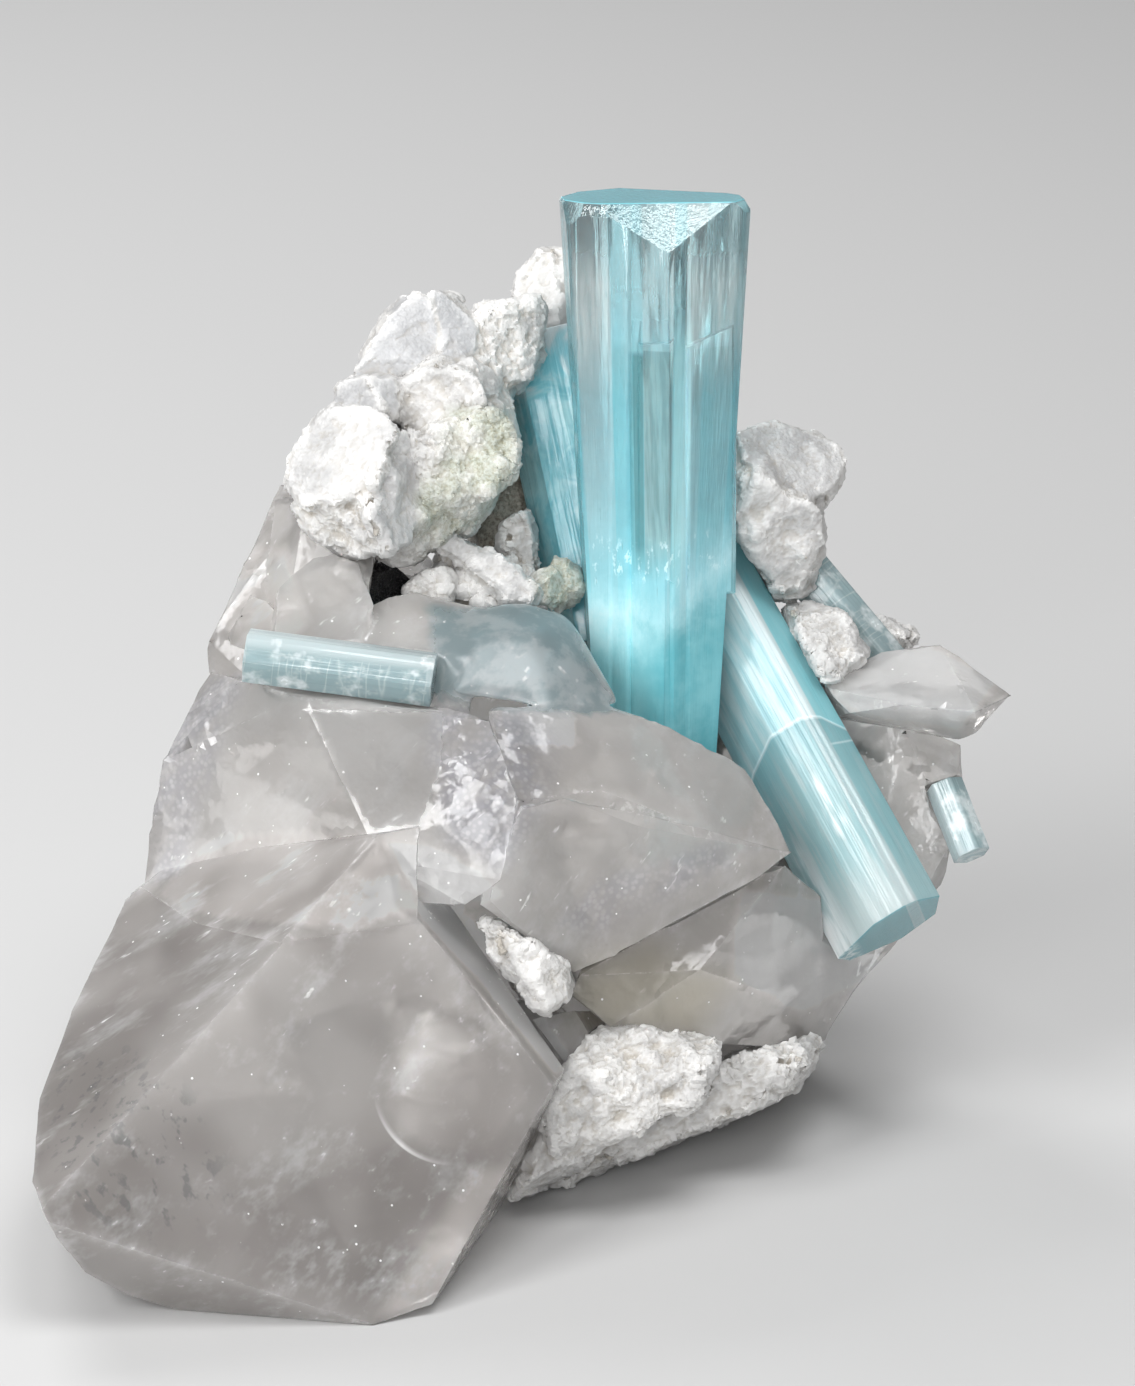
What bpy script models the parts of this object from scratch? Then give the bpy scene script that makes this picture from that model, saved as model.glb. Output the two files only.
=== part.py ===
"""Aquamarine crystals growing on a matrix of quartz and white albite, a hand specimen about 9 cm tall.

Blender 4.5, run with: blender --background --python part.py

Shapes are worked out in millimetres and stored in metres, +Z up, with the origin on the table under the
middle of the specimen. Places are given as a collector standing in front of the specimen sees them, by seen():
x to the right and down from the top left corner of the display field, and depth towards the eye. Every mass is
made of convex bodies, each either a block cut by flat crystal faces or the hull of a few corners. Bodies of one
mineral that overlap are one solid, and a harder, earlier crystal leaves its pocket in what grew round it.
"""

import math
import random

import bmesh
import bpy
from mathutils import Matrix, Vector

MM = 0.001
CLEARANCE = 0.3  # between neighbouring pieces

# The display field: how the specimen is looked at.
EYE_DISTANCE = 700.0
FIELD_MIDDLE = (56.75, 69.3)
DISPLAY_TILT = math.radians(20.0)  # the eye looks down by this much
MIDDLE_HEIGHT = 44.87  # of the field's middle above the table

# Main crystal.
MAIN_TIP = (65.5, 19.8, 6.0)
MAIN_FOOT = (65.5, 84.0, -6.2)
MAIN_TAPER = 3.3  # degrees by which its sides spread towards the tip

MAIN_SIDES = [  # azimuth and distance of each prism face
    (23, 9.2), (53, 7.2), (113, 6.9), (143, 9.0), (173, 9.25),
    (203, 9.1), (233, 9.0), (293, 6.6), (323, 8.2), (353, 9.25),
]
MAIN_TOP = [  # azimuth, slope and distance of the large pyramid face and of the small ones round the rim
    (84.5, 40.1, 3.06), (113, 25, 5.66), (143, 25, 7.16), (23, 30, 7.29), (353, 30, 7.5), (173, 30, 7.8),
]
LEANING_SIDES = [
    (40, 4.2), (75, 5.17), (105, 6.2), (140, 6.24), (190, 5.4), (240, 5.2), (290, 5.0), (340, 5.84),
]
BEHIND_ACROSS = 10.0  # between opposite faces of the smaller prisms
LYING_ACROSS = 4.8
HIDDEN_ACROSS = 4.4
SPRIG_ACROSS = 3.4
SCHORL_ACROSS = 4.6
PANEL_RAISED = 0.45

# The large quartz point: its front and left faces meet in the long edge from the top to the left foot.
POINT_FRONT = (37.2, 84.5, 24.0), (5.0, 120.0, 39.5), (37.2, 132.5, 34.0)
POINT_LEFT = (37.2, 84.5, 24.0), (5.0, 120.0, 39.5), (9.1, 97.7, 14.0)
SHEATH = 0.45  # thickness of the younger quartz over its top

BLOCK = 160.0  # half side of the block that crystal faces are cut from

# colour and roughness
MINERALS = {
    "aquamarine": ((0.33, 0.70, 0.78), 0.08),
    "quartz": ((0.66, 0.62, 0.61), 0.30),
    "albite": ((0.86, 0.85, 0.82), 0.75),
    "schorl": ((0.012, 0.011, 0.011), 0.25),
}


def seen(x, down, depth):
    """The place that shows at x, down in the display field, at that depth towards the eye."""
    shrink = (EYE_DISTANCE - depth) / EYE_DISTANCE
    right = (x - FIELD_MIDDLE[0]) * shrink
    up = (FIELD_MIDDLE[1] - down) * shrink
    sine, cosine = math.sin(DISPLAY_TILT), math.cos(DISPLAY_TILT)
    return Vector((right, up * sine - depth * cosine, MIDDLE_HEIGHT + up * cosine + depth * sine))


TOWARDS_EYE = Vector((0.0, -math.cos(DISPLAY_TILT), math.sin(DISPLAY_TILT)))


def new_object(name, shape):
    mesh = bpy.data.meshes.new(name)
    shape.to_mesh(mesh)
    shape.free()
    obj = bpy.data.objects.new(name, mesh)
    bpy.context.scene.collection.objects.link(obj)
    return obj


def cut_block(centre, planes, grow=0.0):
    """A block about centre cut by planes, each (point, outward normal) and moved outwards by grow."""
    shape = bmesh.new()
    bmesh.ops.create_cube(shape, size=2 * BLOCK, matrix=Matrix.Translation(centre))
    for point, normal in planes:
        everything = shape.verts[:] + shape.edges[:] + shape.faces[:]
        found = bmesh.ops.bisect_plane(
            shape, geom=everything, plane_co=point + normal * grow, plane_no=normal, clear_outer=True
        )
        rim = [item for item in found["geom_cut"] if isinstance(item, bmesh.types.BMEdge)]
        if rim:
            bmesh.ops.edgeloop_fill(shape, edges=rim)
    bmesh.ops.recalc_face_normals(shape, faces=shape.faces[:])
    return shape


class Facets:
    """A convex crystal of which each face is given by three of its places in the display field, and sometimes
    by how far out it lies from them."""

    def __init__(self, inside, faces):
        self.inside = seen(*inside)
        self.planes = []
        for face in faces:
            a, b, c = (seen(*place) for place in face[:3])
            normal = (b - a).cross(c - a).normalized()
            outward = normal if normal.dot(self.inside - a) < 0 else -normal
            self.planes.append((a + outward * sum(face[3:]), outward))

    def shape(self, grow=0.0):
        return cut_block(self.inside, self.planes, grow)


class Prism:
    """A beryl, tourmaline or quartz prism from foot to tip.

    Each face is (azimuth, slope, distance): azimuth in degrees round the axis, from 0 at the side to 90 towards
    the eye, slope in degrees by which it looks towards the tip, and distance in mm from the tip's middle."""

    def __init__(self, foot, tip, faces):
        self.foot, self.tip = seen(*foot), seen(*tip)
        self.axis = (self.tip - self.foot).normalized()
        self.front = (TOWARDS_EYE - self.axis * TOWARDS_EYE.dot(self.axis)).normalized()
        self.side = self.axis.cross(self.front)
        self.planes = [(self.tip, self.axis), (self.foot, -self.axis)]
        for azimuth, slope, distance in faces:
            normal = self.direction(azimuth, slope)
            self.planes.append((self.tip + normal * distance, normal))

    def direction(self, azimuth, slope):
        turn, rise = math.radians(azimuth), math.radians(slope)
        flat = self.side * math.cos(turn) + self.front * math.sin(turn)
        return flat * math.cos(rise) + self.axis * math.sin(rise)

    def local(self, side, front, along):
        """A place from the tip's middle: mm to the side, towards the eye and along the axis."""
        return self.tip + self.side * side + self.front * front + self.axis * along

    def shape(self, grow=0.0):
        return cut_block((self.foot + self.tip) / 2, self.planes, grow)


class Hull:
    """The convex hull of corners given as places in the display field, or as vectors."""

    def __init__(self, *corners):
        self.corners = [c if isinstance(c, Vector) else seen(*c) for c in corners]

    def shape(self, grow=0.0):
        shape = bmesh.new()
        reach = [-grow, grow] if grow else [0.0]
        for corner in self.corners:
            for dx in reach:
                for dy in reach:
                    for dz in reach:
                        shape.verts.new(corner + Vector((dx, dy, dz)))
        made = bmesh.ops.convex_hull(shape, input=shape.verts[:])
        spare = set(made["geom_interior"]) | set(made["geom_unused"])
        spare = [item for item in spare if isinstance(item, bmesh.types.BMVert)]
        bmesh.ops.delete(shape, geom=spare, context="VERTS")
        bmesh.ops.dissolve_limit(
            shape, angle_limit=math.radians(0.5), verts=shape.verts[:], edges=shape.edges[:]
        )
        bmesh.ops.recalc_face_normals(shape, faces=shape.faces[:])
        return shape


def lump(seed, place, radii, corners=17):
    """A blocky grain: the hull of corners spread over an ellipsoid with radii across, up and in depth."""
    dice = random.Random(seed)
    golden = math.pi * (3 - math.sqrt(5))
    middle = seen(*place)
    up = Vector((0.0, math.sin(DISPLAY_TILT), math.cos(DISPLAY_TILT)))
    found = []
    for k in range(corners):
        height = 1 - 2 * (k + 0.5) / corners
        ring = math.sqrt(1 - height * height)
        turn = golden * k + dice.uniform(-0.45, 0.45)
        size = dice.uniform(0.86, 1.08)
        across = Vector((math.cos(turn) * ring * radii[0], 0, 0))
        rise = up * (height * radii[1])
        reach = TOWARDS_EYE * (math.sin(turn) * ring * radii[2])
        found.append(middle + (across + rise + reach) * size)
    return Hull(*found)


def nugget(outline, rim, crest, back, inset=0.3):
    """A body with that outline, a list of (x, down), at depth rim, rising to a smaller facet at depth crest
    and ending in another one at depth back."""
    middle = [sum(place[k] for place in outline) / len(outline) for k in (0, 1)]
    inner = [tuple(p + (m - p) * inset for p, m in zip(place, middle)) for place in outline]
    corners = [(*place, rim) for place in outline]
    corners += [(*place, crest) for place in inner[::2]]
    corners += [(*place, back) for place in inner[1::2]]
    return Hull(*corners)


def boolean(obj, operation, bodies, grow=0.0):
    """Joins bodies to obj, or cuts them from it, and keeps the largest piece that is left."""
    tools = []
    for body in bodies:
        tool = new_object("tool", body.shape(grow))
        tools.append(tool)
        modifier = obj.modifiers.new(operation, "BOOLEAN")
        modifier.operation = operation
        modifier.object = tool
    bpy.context.view_layer.update()
    graph = bpy.context.evaluated_depsgraph_get()
    mesh = bpy.data.meshes.new_from_object(obj.evaluated_get(graph))
    obj.modifiers.clear()
    obj.data = mesh
    for tool in tools:
        bpy.data.objects.remove(tool)
    keep_largest(obj)


def keep_largest(obj):
    shape = bmesh.new()
    shape.from_mesh(obj.data)
    pieces, left = [], set(shape.verts)
    while left:
        piece, edge = set(), [left.pop()]
        while edge:
            vert = edge.pop()
            piece.add(vert)
            for link in vert.link_edges:
                other = link.other_vert(vert)
                if other in left:
                    left.discard(other)
                    edge.append(other)
        pieces.append(piece)
    pieces.sort(key=len)
    spare = [vert for piece in pieces[:-1] for vert in piece]
    bmesh.ops.delete(shape, geom=spare, context="VERTS")
    shape.to_mesh(obj.data)
    shape.free()


def mass(name, bodies, pockets=()):
    """One solid from overlapping bodies, less the pockets that other pieces stand in."""
    obj = new_object(name, bodies[0].shape())
    if len(bodies) > 1:
        boolean(obj, "UNION", bodies[1:])
    if pockets:
        boolean(obj, "DIFFERENCE", pockets, CLEARANCE)
    return obj


# ---- crystals ----


def sides(azimuths_and_distances, taper=0.0):
    return [(azimuth, -taper, distance) for azimuth, distance in azimuths_and_distances]


def hexagonal(foot, tip, across, turn):
    return Prism(foot, tip, sides([(turn + 60 * k, across / 2) for k in range(6)]))


def main_crystal():
    """The big upright aquamarine: hexagonal, with narrow second-order faces, one large pyramid face cutting
    its front edge, and two raised growth panels that end in a step about a quarter of the way down."""
    body = Prism(MAIN_FOOT, MAIN_TIP, sides(MAIN_SIDES, MAIN_TAPER) + MAIN_TOP)
    return [
        body,
        growth_panel(body, 113, 6.9, (-2.1, 1.9), (13.3, 13.0), (38.0, 38.0)),
        growth_panel(body, 53, 7.2, (2.6, 8.1), (13.6, 12.0), (40.0, 40.0)),
    ]


def growth_panel(crystal, azimuth, distance, span, top, bottom, bevel=0.5):
    """A slab standing proud of one prism face. span is where it starts and ends across the face, in mm to the
    side of the axis, and top and bottom are how far below the tip it reaches at those two ends."""
    lean = math.radians(MAIN_TAPER)
    flat = math.radians(azimuth)

    def place(side, along, out):
        reach = distance + along * math.tan(lean) + out
        front = (reach - side * math.cos(flat)) / math.sin(flat)
        return crystal.local(side, front, along)

    corners = []
    for k, side in enumerate(span):
        inwards = bevel if k == 0 else -bevel
        corners.append(place(side, -top[k], -1.0))
        corners.append(place(side, -bottom[k], -1.0))
        corners.append(place(side + inwards, -top[k] - bevel, PANEL_RAISED))
        corners.append(place(side + inwards, -bottom[k] + bevel, 0.0))
    return Hull(*corners)


def quartz_point():
    """The large quartz crystal low on the left, lying towards the eye on its blunt end."""
    top, left_foot, toe = POINT_FRONT
    heel = (5.0, 122.3, 39.9)
    return Facets(
        inside=(32, 108, 12),
        faces=[
            POINT_FRONT,
            POINT_LEFT,
            (heel, toe, (19.9, 131.6, 30.5)),
            ((41.6, 91.7, 24.4), (55.3, 108.6, 24.4), (56.5, 107.0, 20.0)),
            ((54.5, 110.0, 24.6), (44.5, 128.1, 30.9), (50.0, 120.9, 8.0)),
            ((56.5, 107.0, 18.0), (50.0, 120.9, 8.0), (44.0, 118.0, -6.0)),
            ((46.3, 91.3, 23.0), (56.5, 107.0, 20.0), (53.0, 106.0, -4.0)),
            (toe, (43.6, 130.2, 31.5), (42.0, 128.0, 14.0)),
            ((11.6, 91.8, 11.0), (6.6, 102.4, 20.0), (9.0, 99.0, -10.0)),
            ((6.6, 102.4, 20.0), (4.3, 108.4, 26.0), (7.0, 107.0, 0.0)),
            ((3.6, 112.0, 30.0), (3.4, 118.1, 33.0), (5.5, 113.0, 4.0)),
            ((3.4, 118.1, 33.0), (5.4, 122.8, 36.0), (7.0, 121.0, 8.0)),
            ((5.4, 122.8, 36.0), (8.4, 127.3, 35.0), (10.0, 125.5, 10.0)),
            ((8.4, 127.3, 35.0), (12.7, 129.7, 33.5), (12.0, 127.0, 10.0)),
            ((12.7, 129.7, 33.5), (19.9, 131.6, 30.5), (16.0, 128.0, 10.0)),
            ((18.0, 85.6, 6.7), (38.1, 83.3, 23.3), (24.1, 83.3, -10.0)),
            ((14.5, 88.4, 9.0), (18.0, 85.4, 9.0), (16.0, 87.0, -12.0)),
            ((10.0, 110.0, -12.0), (45.0, 115.0, -12.0), (30.0, 90.0, -14.0)),
        ],
    )


def quartz_sheath():
    """The younger quartz that covers the top of the point and ends in a low step across it."""
    return Facets(
        inside=(31, 88, 8),
        faces=[
            (*POINT_FRONT, SHEATH),
            (*POINT_LEFT, SHEATH),
            ((19.0, 91.9, 16.0), (33.3, 93.4, 26.8), (41.8, 92.2, 24.4)),
            ((41.9, 84.0, 24.0), (41.7, 91.5, 24.0), (41.0, 88.0, 0.0)),
            ((15.0, 89.3, 8.6), (18.6, 91.7, 15.3), (17.0, 91.5, -8.0)),
            ((18.0, 85.6, 6.7), (38.1, 83.3, 23.3), (24.1, 83.3, -10.0)),
            ((14.5, 88.4, 9.0), (18.0, 85.4, 9.0), (16.0, 87.0, -12.0)),
            ((10.0, 110.0, -6.0), (45.0, 115.0, -6.0), (30.0, 90.0, -6.0)),
        ],
    )


def quartz_front():
    """The blocks round the large point, its ledge, and the humps at the main crystal's foot."""
    return [
        Hull((14.5, 88.5, 6), (15.2, 80.5, 7), (16.2, 76.0, 8), (18.7, 71.3, 8), (21.2, 67.4, 6),
             (24, 68.0, 12), (30, 69.5, 17), (37, 70.5, 19), (44, 70.5, 19), (49, 72, 21), (52, 80, 25),
             (50, 88, 25), (46.5, 90.5, 23.5), (38, 86, 22), (30, 84.5, 14.5), (24, 85, 8.5), (20, 85, 6),
             (20, 75, -8), (45, 75, -8), (20, 90, -8), (45, 90, -8)),
        Hull((49, 70.5, 18.5), (56, 70.8, 17), (62.3, 70.6, 12.5), (64.0, 72.2, 12), (65.5, 73.0, 11.5),
             (68.0, 74.6, 10.5), (69.0, 75.8, 10.5), (72, 76.8, 10), (74.4, 77.0, 9), (77, 81, 9),
             (79.0, 85.3, 8.5), (76, 87.5, 11), (70, 90.5, 14.5), (64, 94, 17), (57.4, 97.0, 18),
             (54.8, 94.6, 20), (51.2, 92.0, 22), (48, 90.5, 23.3), (51, 80, 24.5), (60, 79, 20),
             (68, 82, 17), (50, 75, 0), (72, 78, -4), (77, 85, -4), (58, 96, 0)),
        Hull((52, 80.5, 25.2), (56.5, 79.8, 23.8), (63.8, 82.6, 20.3), (66.9, 82.0, 18.5),
             (69.5, 83.7, 17.2), (74, 84.3, 13.2), (79.2, 85.2, 9.3), (76, 87.7, 11.6), (70, 90.8, 15.1),
             (64, 94.2, 17.6), (57.4, 97.3, 18.6), (54.8, 94.8, 20.7), (51.2, 92.2, 22.8), (49, 90, 24.3),
             (55, 85, 5), (75, 86, 0), (58, 96, 3)),
        quartz_point(),
        quartz_sheath(),
        Hull((36.1, 60.9, 11), (38.8, 59.8, 11), (41.7, 59.2, 10), (44.9, 59.8, 10), (48.0, 60.8, 9),
             (47, 66, 17), (38, 66, 17), (36, 65, 15), (38, 61, 3), (46, 61, 2), (38, 72, 14),
             (47, 72, 16)),
        Hull((46, 60.8, 9), (49.7, 60.5, 9.5), (52.3, 60.0, 9), (55, 60.6, 8), (56.9, 61.5, 8),
             (58.0, 63.2, 8.5), (58.9, 66.6, 9.5), (62.3, 70.6, 12), (56, 71, 17), (45, 69.5, 18.5),
             (48, 63.5, 15), (54, 63.2, 13.5), (48, 62, 0), (57, 63, 0), (60, 70, 2)),
    ]


def quartz_sides():
    """The slabs on the left and the blocks and the small point on the right."""
    return [
        Hull((28.0, 48.5, 2), (26.4, 52.6, 3), (25.3, 54.6, 4), (23.6, 58.7, 4), (22.0, 61.7, 5),
             (20.9, 64.1, 5), (21.1, 67.2, 5), (25, 68, 8), (30, 60, 8), (31, 50, 6), (27, 52, -10),
             (24, 64, -10), (34, 60, -10), (33, 48, -8)),
        Hull((27.5, 50, 5), (31, 49, 8), (38, 52, 8), (37, 58, 6), (36, 64, 9), (28, 64, 9), (26, 60, 6),
             (38, 55, -6), (28, 55, -6), (36, 66, -4), (26, 66, -4)),
        Hull((26.8, 63.5, 12), (28.0, 59.0, 12.5), (29.3, 57.6, 12), (31.4, 55.9, 11.5),
             (33.3, 55.6, 11.5), (35.7, 56.4, 12.5), (37.1, 59.6, 13.5), (37.5, 60.6, 13.5),
             (36.0, 65, 15), (27, 66, 14.5), (29, 60, 6), (36, 58, 6), (36, 67, 6), (27, 67, 6)),
        Hull((22.6, 63.5, 9), (23.6, 61.9, 10), (25, 59.4, 9), (26.6, 60.1, 11), (27.5, 61.2, 12),
             (27, 64, 13), (25, 65, 12), (22.9, 64.5, 10), (24, 62, 3), (28, 61, 4), (27, 66, 4)),
        Hull((58, 97.5, 12), (78.5, 86.5, 4), (83, 91, -5), (88.4, 95, -10), (85.5, 99, -8),
             (82.3, 103.8, -8), (78, 105, -3), (71.8, 104.2, 4), (61, 102.8, 11), (57, 99.5, 12),
             (70, 97, 10), (76, 99, 5), (85, 95, -18), (80, 104, -18), (60, 100, -10), (62, 88, -10)),
        Hull((84, 71.5, -10), (90, 71.8, -8), (96.1, 74.5, -9), (96.4, 77.5, -10), (96.1, 80.1, -9),
             (95.2, 84.2, -8), (94.0, 88.4, -10), (88.5, 94.8, -9), (86, 98.5, -9), (80, 80, -13),
             (80, 90, -12), (95, 78, -22), (92, 90, -20), (84, 74, -24), (80, 95, -22)),
        Hull((82, 68.5, -6), (86, 67.3, -8), (88.1, 65.2, -8), (92.2, 64.6, -10), (94.0, 64.4, -9),
             (101.2, 69.5, -6), (97.6, 71.2, -1), (90, 70.5, -1), (97.5, 73.3, -5), (95.9, 74.0, -6),
             (91, 71.5, -4), (84.9, 71.4, -4), (88, 72, -14), (97, 73, -14), (100, 70, -12),
             (88, 66, -16), (94, 66, -17), (82, 72, -14)),
        Hull((53.3, 102.0, 14.5), (57.5, 101.0, 13), (59.0, 103.3, 12.5), (56.8, 106.7, 13.5),
             (54.8, 104.0, 14.5), (55, 103, 4), (58, 102, 4), (57, 106, 6), (62, 101, 0)),
    ]


def quartz_back():
    """The broken body of the specimen, out of sight from the front, that stands on the table."""
    return [
        lump(51, (35, 101, -18), (17, 17, 16), 24),
        lump(52, (64, 97, -22), (17, 17, 14), 24),
        lump(58, (49, 108, -14), (14, 12, 12), 20),
        lump(53, (50, 74, -23), (18, 13, 11), 22),
        lump(54, (76, 78, -22), (11, 12, 9), 20),
        lump(55, (31, 72, -16), (10, 13, 9), 20),
        lump(56, (69, 62, -23), (8, 9, 7.5), 20),
        lump(57, (40, 63, -21), (10, 8, 8), 20),
        Hull((25, 75, -8), (30, 62, -14), (50, 58, -20), (70, 62, -18), (84, 78, -20), (85, 92, -22), (60, 57, -24),
             (30, 70, -28), (60, 100, -30), (35, 100, -28), (75, 100, -26), (30, 100, -6), (60, 100, -6)),
    ]


def albite_crown():
    """The platy white mass at the upper left, which goes on down the back."""
    return [
        nugget([(28.3, 48.4), (31.6, 41.4), (34.5, 40.5), (39.0, 43.0), (41.2, 47.0), (42.3, 51.0),
                (41.0, 54.5), (39.1, 56.3), (36.0, 56.1), (31.2, 52.8), (28.6, 49.3)], 5, 14.5, -6),
        nugget([(40, 43), (44, 41.5), (49, 41.5), (51.9, 41.4), (51.7, 46.6), (49.7, 48.0), (47.7, 51.0),
                (47.3, 53.7), (44.4, 53.2), (41, 50)], 2, 8.5, -8),
        nugget([(36.2, 35.2), (37.8, 32.1), (39.1, 31.0), (40.9, 29.5), (42.1, 29.3), (43.2, 31),
                (43.8, 34), (43.5, 37), (40.0, 38.5), (35.8, 38)], -2, 3.5, -8),
        nugget([(43.0, 29.4), (44.6, 29.0), (46.2, 30.6), (47.5, 32.5), (47.8, 35), (46, 36.6),
                (43.6, 36.6), (42.6, 33)], -1, 2.5, -6),
        nugget([(47.3, 31.7), (48.8, 30.4), (51.4, 29.7), (53.8, 31.0), (54.1, 34.8), (53.2, 37.2),
                (51.5, 39.2), (49.5, 39.0), (47, 36)], -5, 0.5, -16),
        nugget([(51.5, 30.2), (52.1, 27.3), (53.6, 25.5), (55.2, 24.6), (56.3, 24.9), (58, 30), (57, 36),
                (51, 34)], -14, -12.5, -19),
        nugget([(33.6, 40.8), (34.1, 38.5), (35.6, 37.4), (39, 37), (41.5, 39.5), (41, 42), (36, 43)],
                1, 6, -4),
        nugget([(39, 38), (43, 35.5), (48, 35), (51, 38), (51.8, 42.2), (46, 44), (41, 43)], 0, 5.5, -8),
        nugget([(40.2, 44.5), (42.5, 42.4), (45, 43.5), (45.7, 46), (43, 47.6), (41, 47)], 7, 10.5, 0),
        nugget([(38.5, 49), (42, 48), (43.6, 51), (42.6, 54.6), (39.5, 56.2), (38, 54)], 6, 11.5, 0),
        nugget([(41, 51), (45, 51), (46.8, 53.6), (44, 54), (42, 55.2), (40, 55)], 3, 6.5, -4),
        nugget([(35, 41), (42, 34), (50, 34), (51, 44), (46, 50), (36, 54)], -5, 1, -14),
        nugget([(46, 34), (57, 32), (60, 45), (52, 54), (42, 54)], -20, -16, -27),
        lump(61, (45, 54, -25), (9, 8, 6), 20),
        lump(62, (53, 59, -29), (6, 6, 5)),
    ]


def albite_shoulder():
    """The white blocks to the right of the main crystal."""
    return [
        nugget([(75.4, 42.5), (77.5, 43.0), (82.1, 43.6), (83.5, 44.8), (83.7, 46.5), (84.6, 47.7),
                (83.5, 50.0), (82.2, 50.7), (79, 51), (76, 48), (74.5, 45)], -10, -7, -17),
        nugget([(73.4, 44.3), (75.2, 43.4), (77.5, 46), (79.5, 48), (79.0, 52), (77.0, 54.5),
                (75.0, 55.5), (73, 53)], -7, -2.5, -14),
        nugget([(77.7, 51.2), (80.2, 49.6), (82.0, 50.2), (82.4, 55.8), (80.9, 57.0), (79, 57), (78, 54)],
                -8, -4, -15),
        nugget([(75, 54.5), (80, 55.5), (82.0, 57.5), (80, 60), (78, 60.5), (76, 58)], -11, -6, -16),
        nugget([(73, 46), (80, 45), (82, 52), (80, 58), (74, 56)], -14, -11, -20),
    ]


def albite_terrace():
    """The small grains below the shoulder."""
    return [
        nugget([(78.3, 60.6), (80, 60.4), (82.8, 61.0), (84.3, 62.5), (84.0, 65), (81.5, 66.5),
                (79.6, 64)], -9, -5.5, -14),
        nugget([(81.5, 64.0), (85, 63.9), (87.3, 65.0), (86.8, 67.0), (84.5, 68.6), (82.5, 69.2),
                (80.8, 67)], -8, -4.5, -14),
        nugget([(77.5, 61), (80, 62), (82, 67), (83.5, 71), (80, 70)], -11, -7, -15),
        nugget([(86, 64.5), (88.3, 62.4), (91.2, 63.0), (90.5, 65.0), (88, 66), (86, 66.5)],
                -15, -13, -18),
        nugget([(82, 63), (87, 64), (90, 64.5), (90, 67), (84, 68)], -14, -12, -18),
    ]


def albite_foot():
    """The crust low in front, which runs on under the specimen."""
    return [
        nugget([(56.4, 107.2), (57.6, 104.2), (59.8, 103.4), (64, 103.5), (71.8, 104), (71.2, 106.5),
                (69.0, 108.5), (66.0, 110), (64.0, 112.5), (60.0, 114.5), (56.0, 116.0), (53.0, 118.0),
                (50.7, 120.2), (52.0, 115)], 10, 14, -10, 0.2),
        nugget([(50.5, 120.5), (56.0, 118.0), (64.0, 115.5), (70.0, 113.0), (76.0, 110.8), (80.0, 108.5),
                (82.3, 105.0), (82, 103.4), (75, 105), (70, 107.5), (62, 112), (54, 116)],
                -3, 6, -26, 0.15),
    ]


def albite_wedge():
    """The wedge between the large point and the ledge."""
    return [
        nugget([(47.6, 92.0), (51.2, 92.3), (55.0, 94.8), (57.4, 98.1), (57.0, 99.4), (55.0, 101.6),
                (54.1, 101.6), (51.2, 98.1), (49.0, 95)], 20.5, 23, 5, 0.25),
    ]


def albite_nest():
    """The small plates in the hollow below the crown."""
    return [
        Hull((43.2, 53.6, 2), (45.5, 53.0, 3), (48, 55.5, 4), (52.0, 57.8, 4), (53.6, 59.0, 3),
             (53.3, 60.5, 4), (48, 61, 5), (44, 61, 4), (46, 56, -5), (52, 60, -5), (44, 60, -4)),
        nugget([(40, 59), (41.5, 57.2), (44, 57), (45.2, 58.5), (45, 60.6), (41, 60.8)], 2, 4.5, -2),
        nugget([(50.3, 53.5), (51.3, 51.2), (53.0, 50.6), (53.6, 53), (53.6, 56.6), (51.5, 56.5),
                (50.4, 55)], -5.5, -4, -9.5),
        nugget([(49.5, 55.5), (53.5, 56), (54, 60), (49, 60)], -4, -2, -9),
        nugget([(52.4, 59.5), (53.5, 57.5), (55.5, 57), (56.5, 59.5), (55, 61)], 1, 3.5, -3),
        nugget([(54.9, 58), (55.6, 55.6), (57.2, 55.4), (57.6, 58), (57, 61), (55.5, 61)], -1, 0.6, -4),
    ]


def build():
    crystals = {
        "aquamarine_main": main_crystal(),
        "aquamarine_leaning": [Prism((68.0, 54.5, -14.2), (89.0, 93.0, -1.0), sides(LEANING_SIDES, 0.5))],
        "aquamarine_behind": [hexagonal((61.2, 64.0, -9.0), (54.7, 33.5, -12.0), BEHIND_ACROSS, 35)],
        "aquamarine_lying": [hexagonal((43.4, 68.0, 17.5), (24.6, 65.5, 16.5), LYING_ACROSS, 15)],
        "aquamarine_hidden": [hexagonal((80.0, 56.3, -13.5), (88.8, 66.8, -12.5), HIDDEN_ACROSS, 20)],
        "aquamarine_sprig": [hexagonal((94.4, 78.4, -8.5), (97.2, 85.6, -6.0), SPRIG_ACROSS, 20)],
        "schorl": [hexagonal((34.0, 56.5, -7.0), (39.0, 59.2, 2.5), SCHORL_ACROSS, 10)],
    }
    groups = {**crystals, "quartz": [*quartz_front(), *quartz_sides(), *quartz_back()]}
    for make in (albite_crown, albite_shoulder, albite_terrace, albite_foot, albite_wedge, albite_nest):
        groups[make.__name__] = make()
    taken = []
    for name, bodies in groups.items():
        mass(name, bodies, taken)
        taken += bodies


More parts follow.
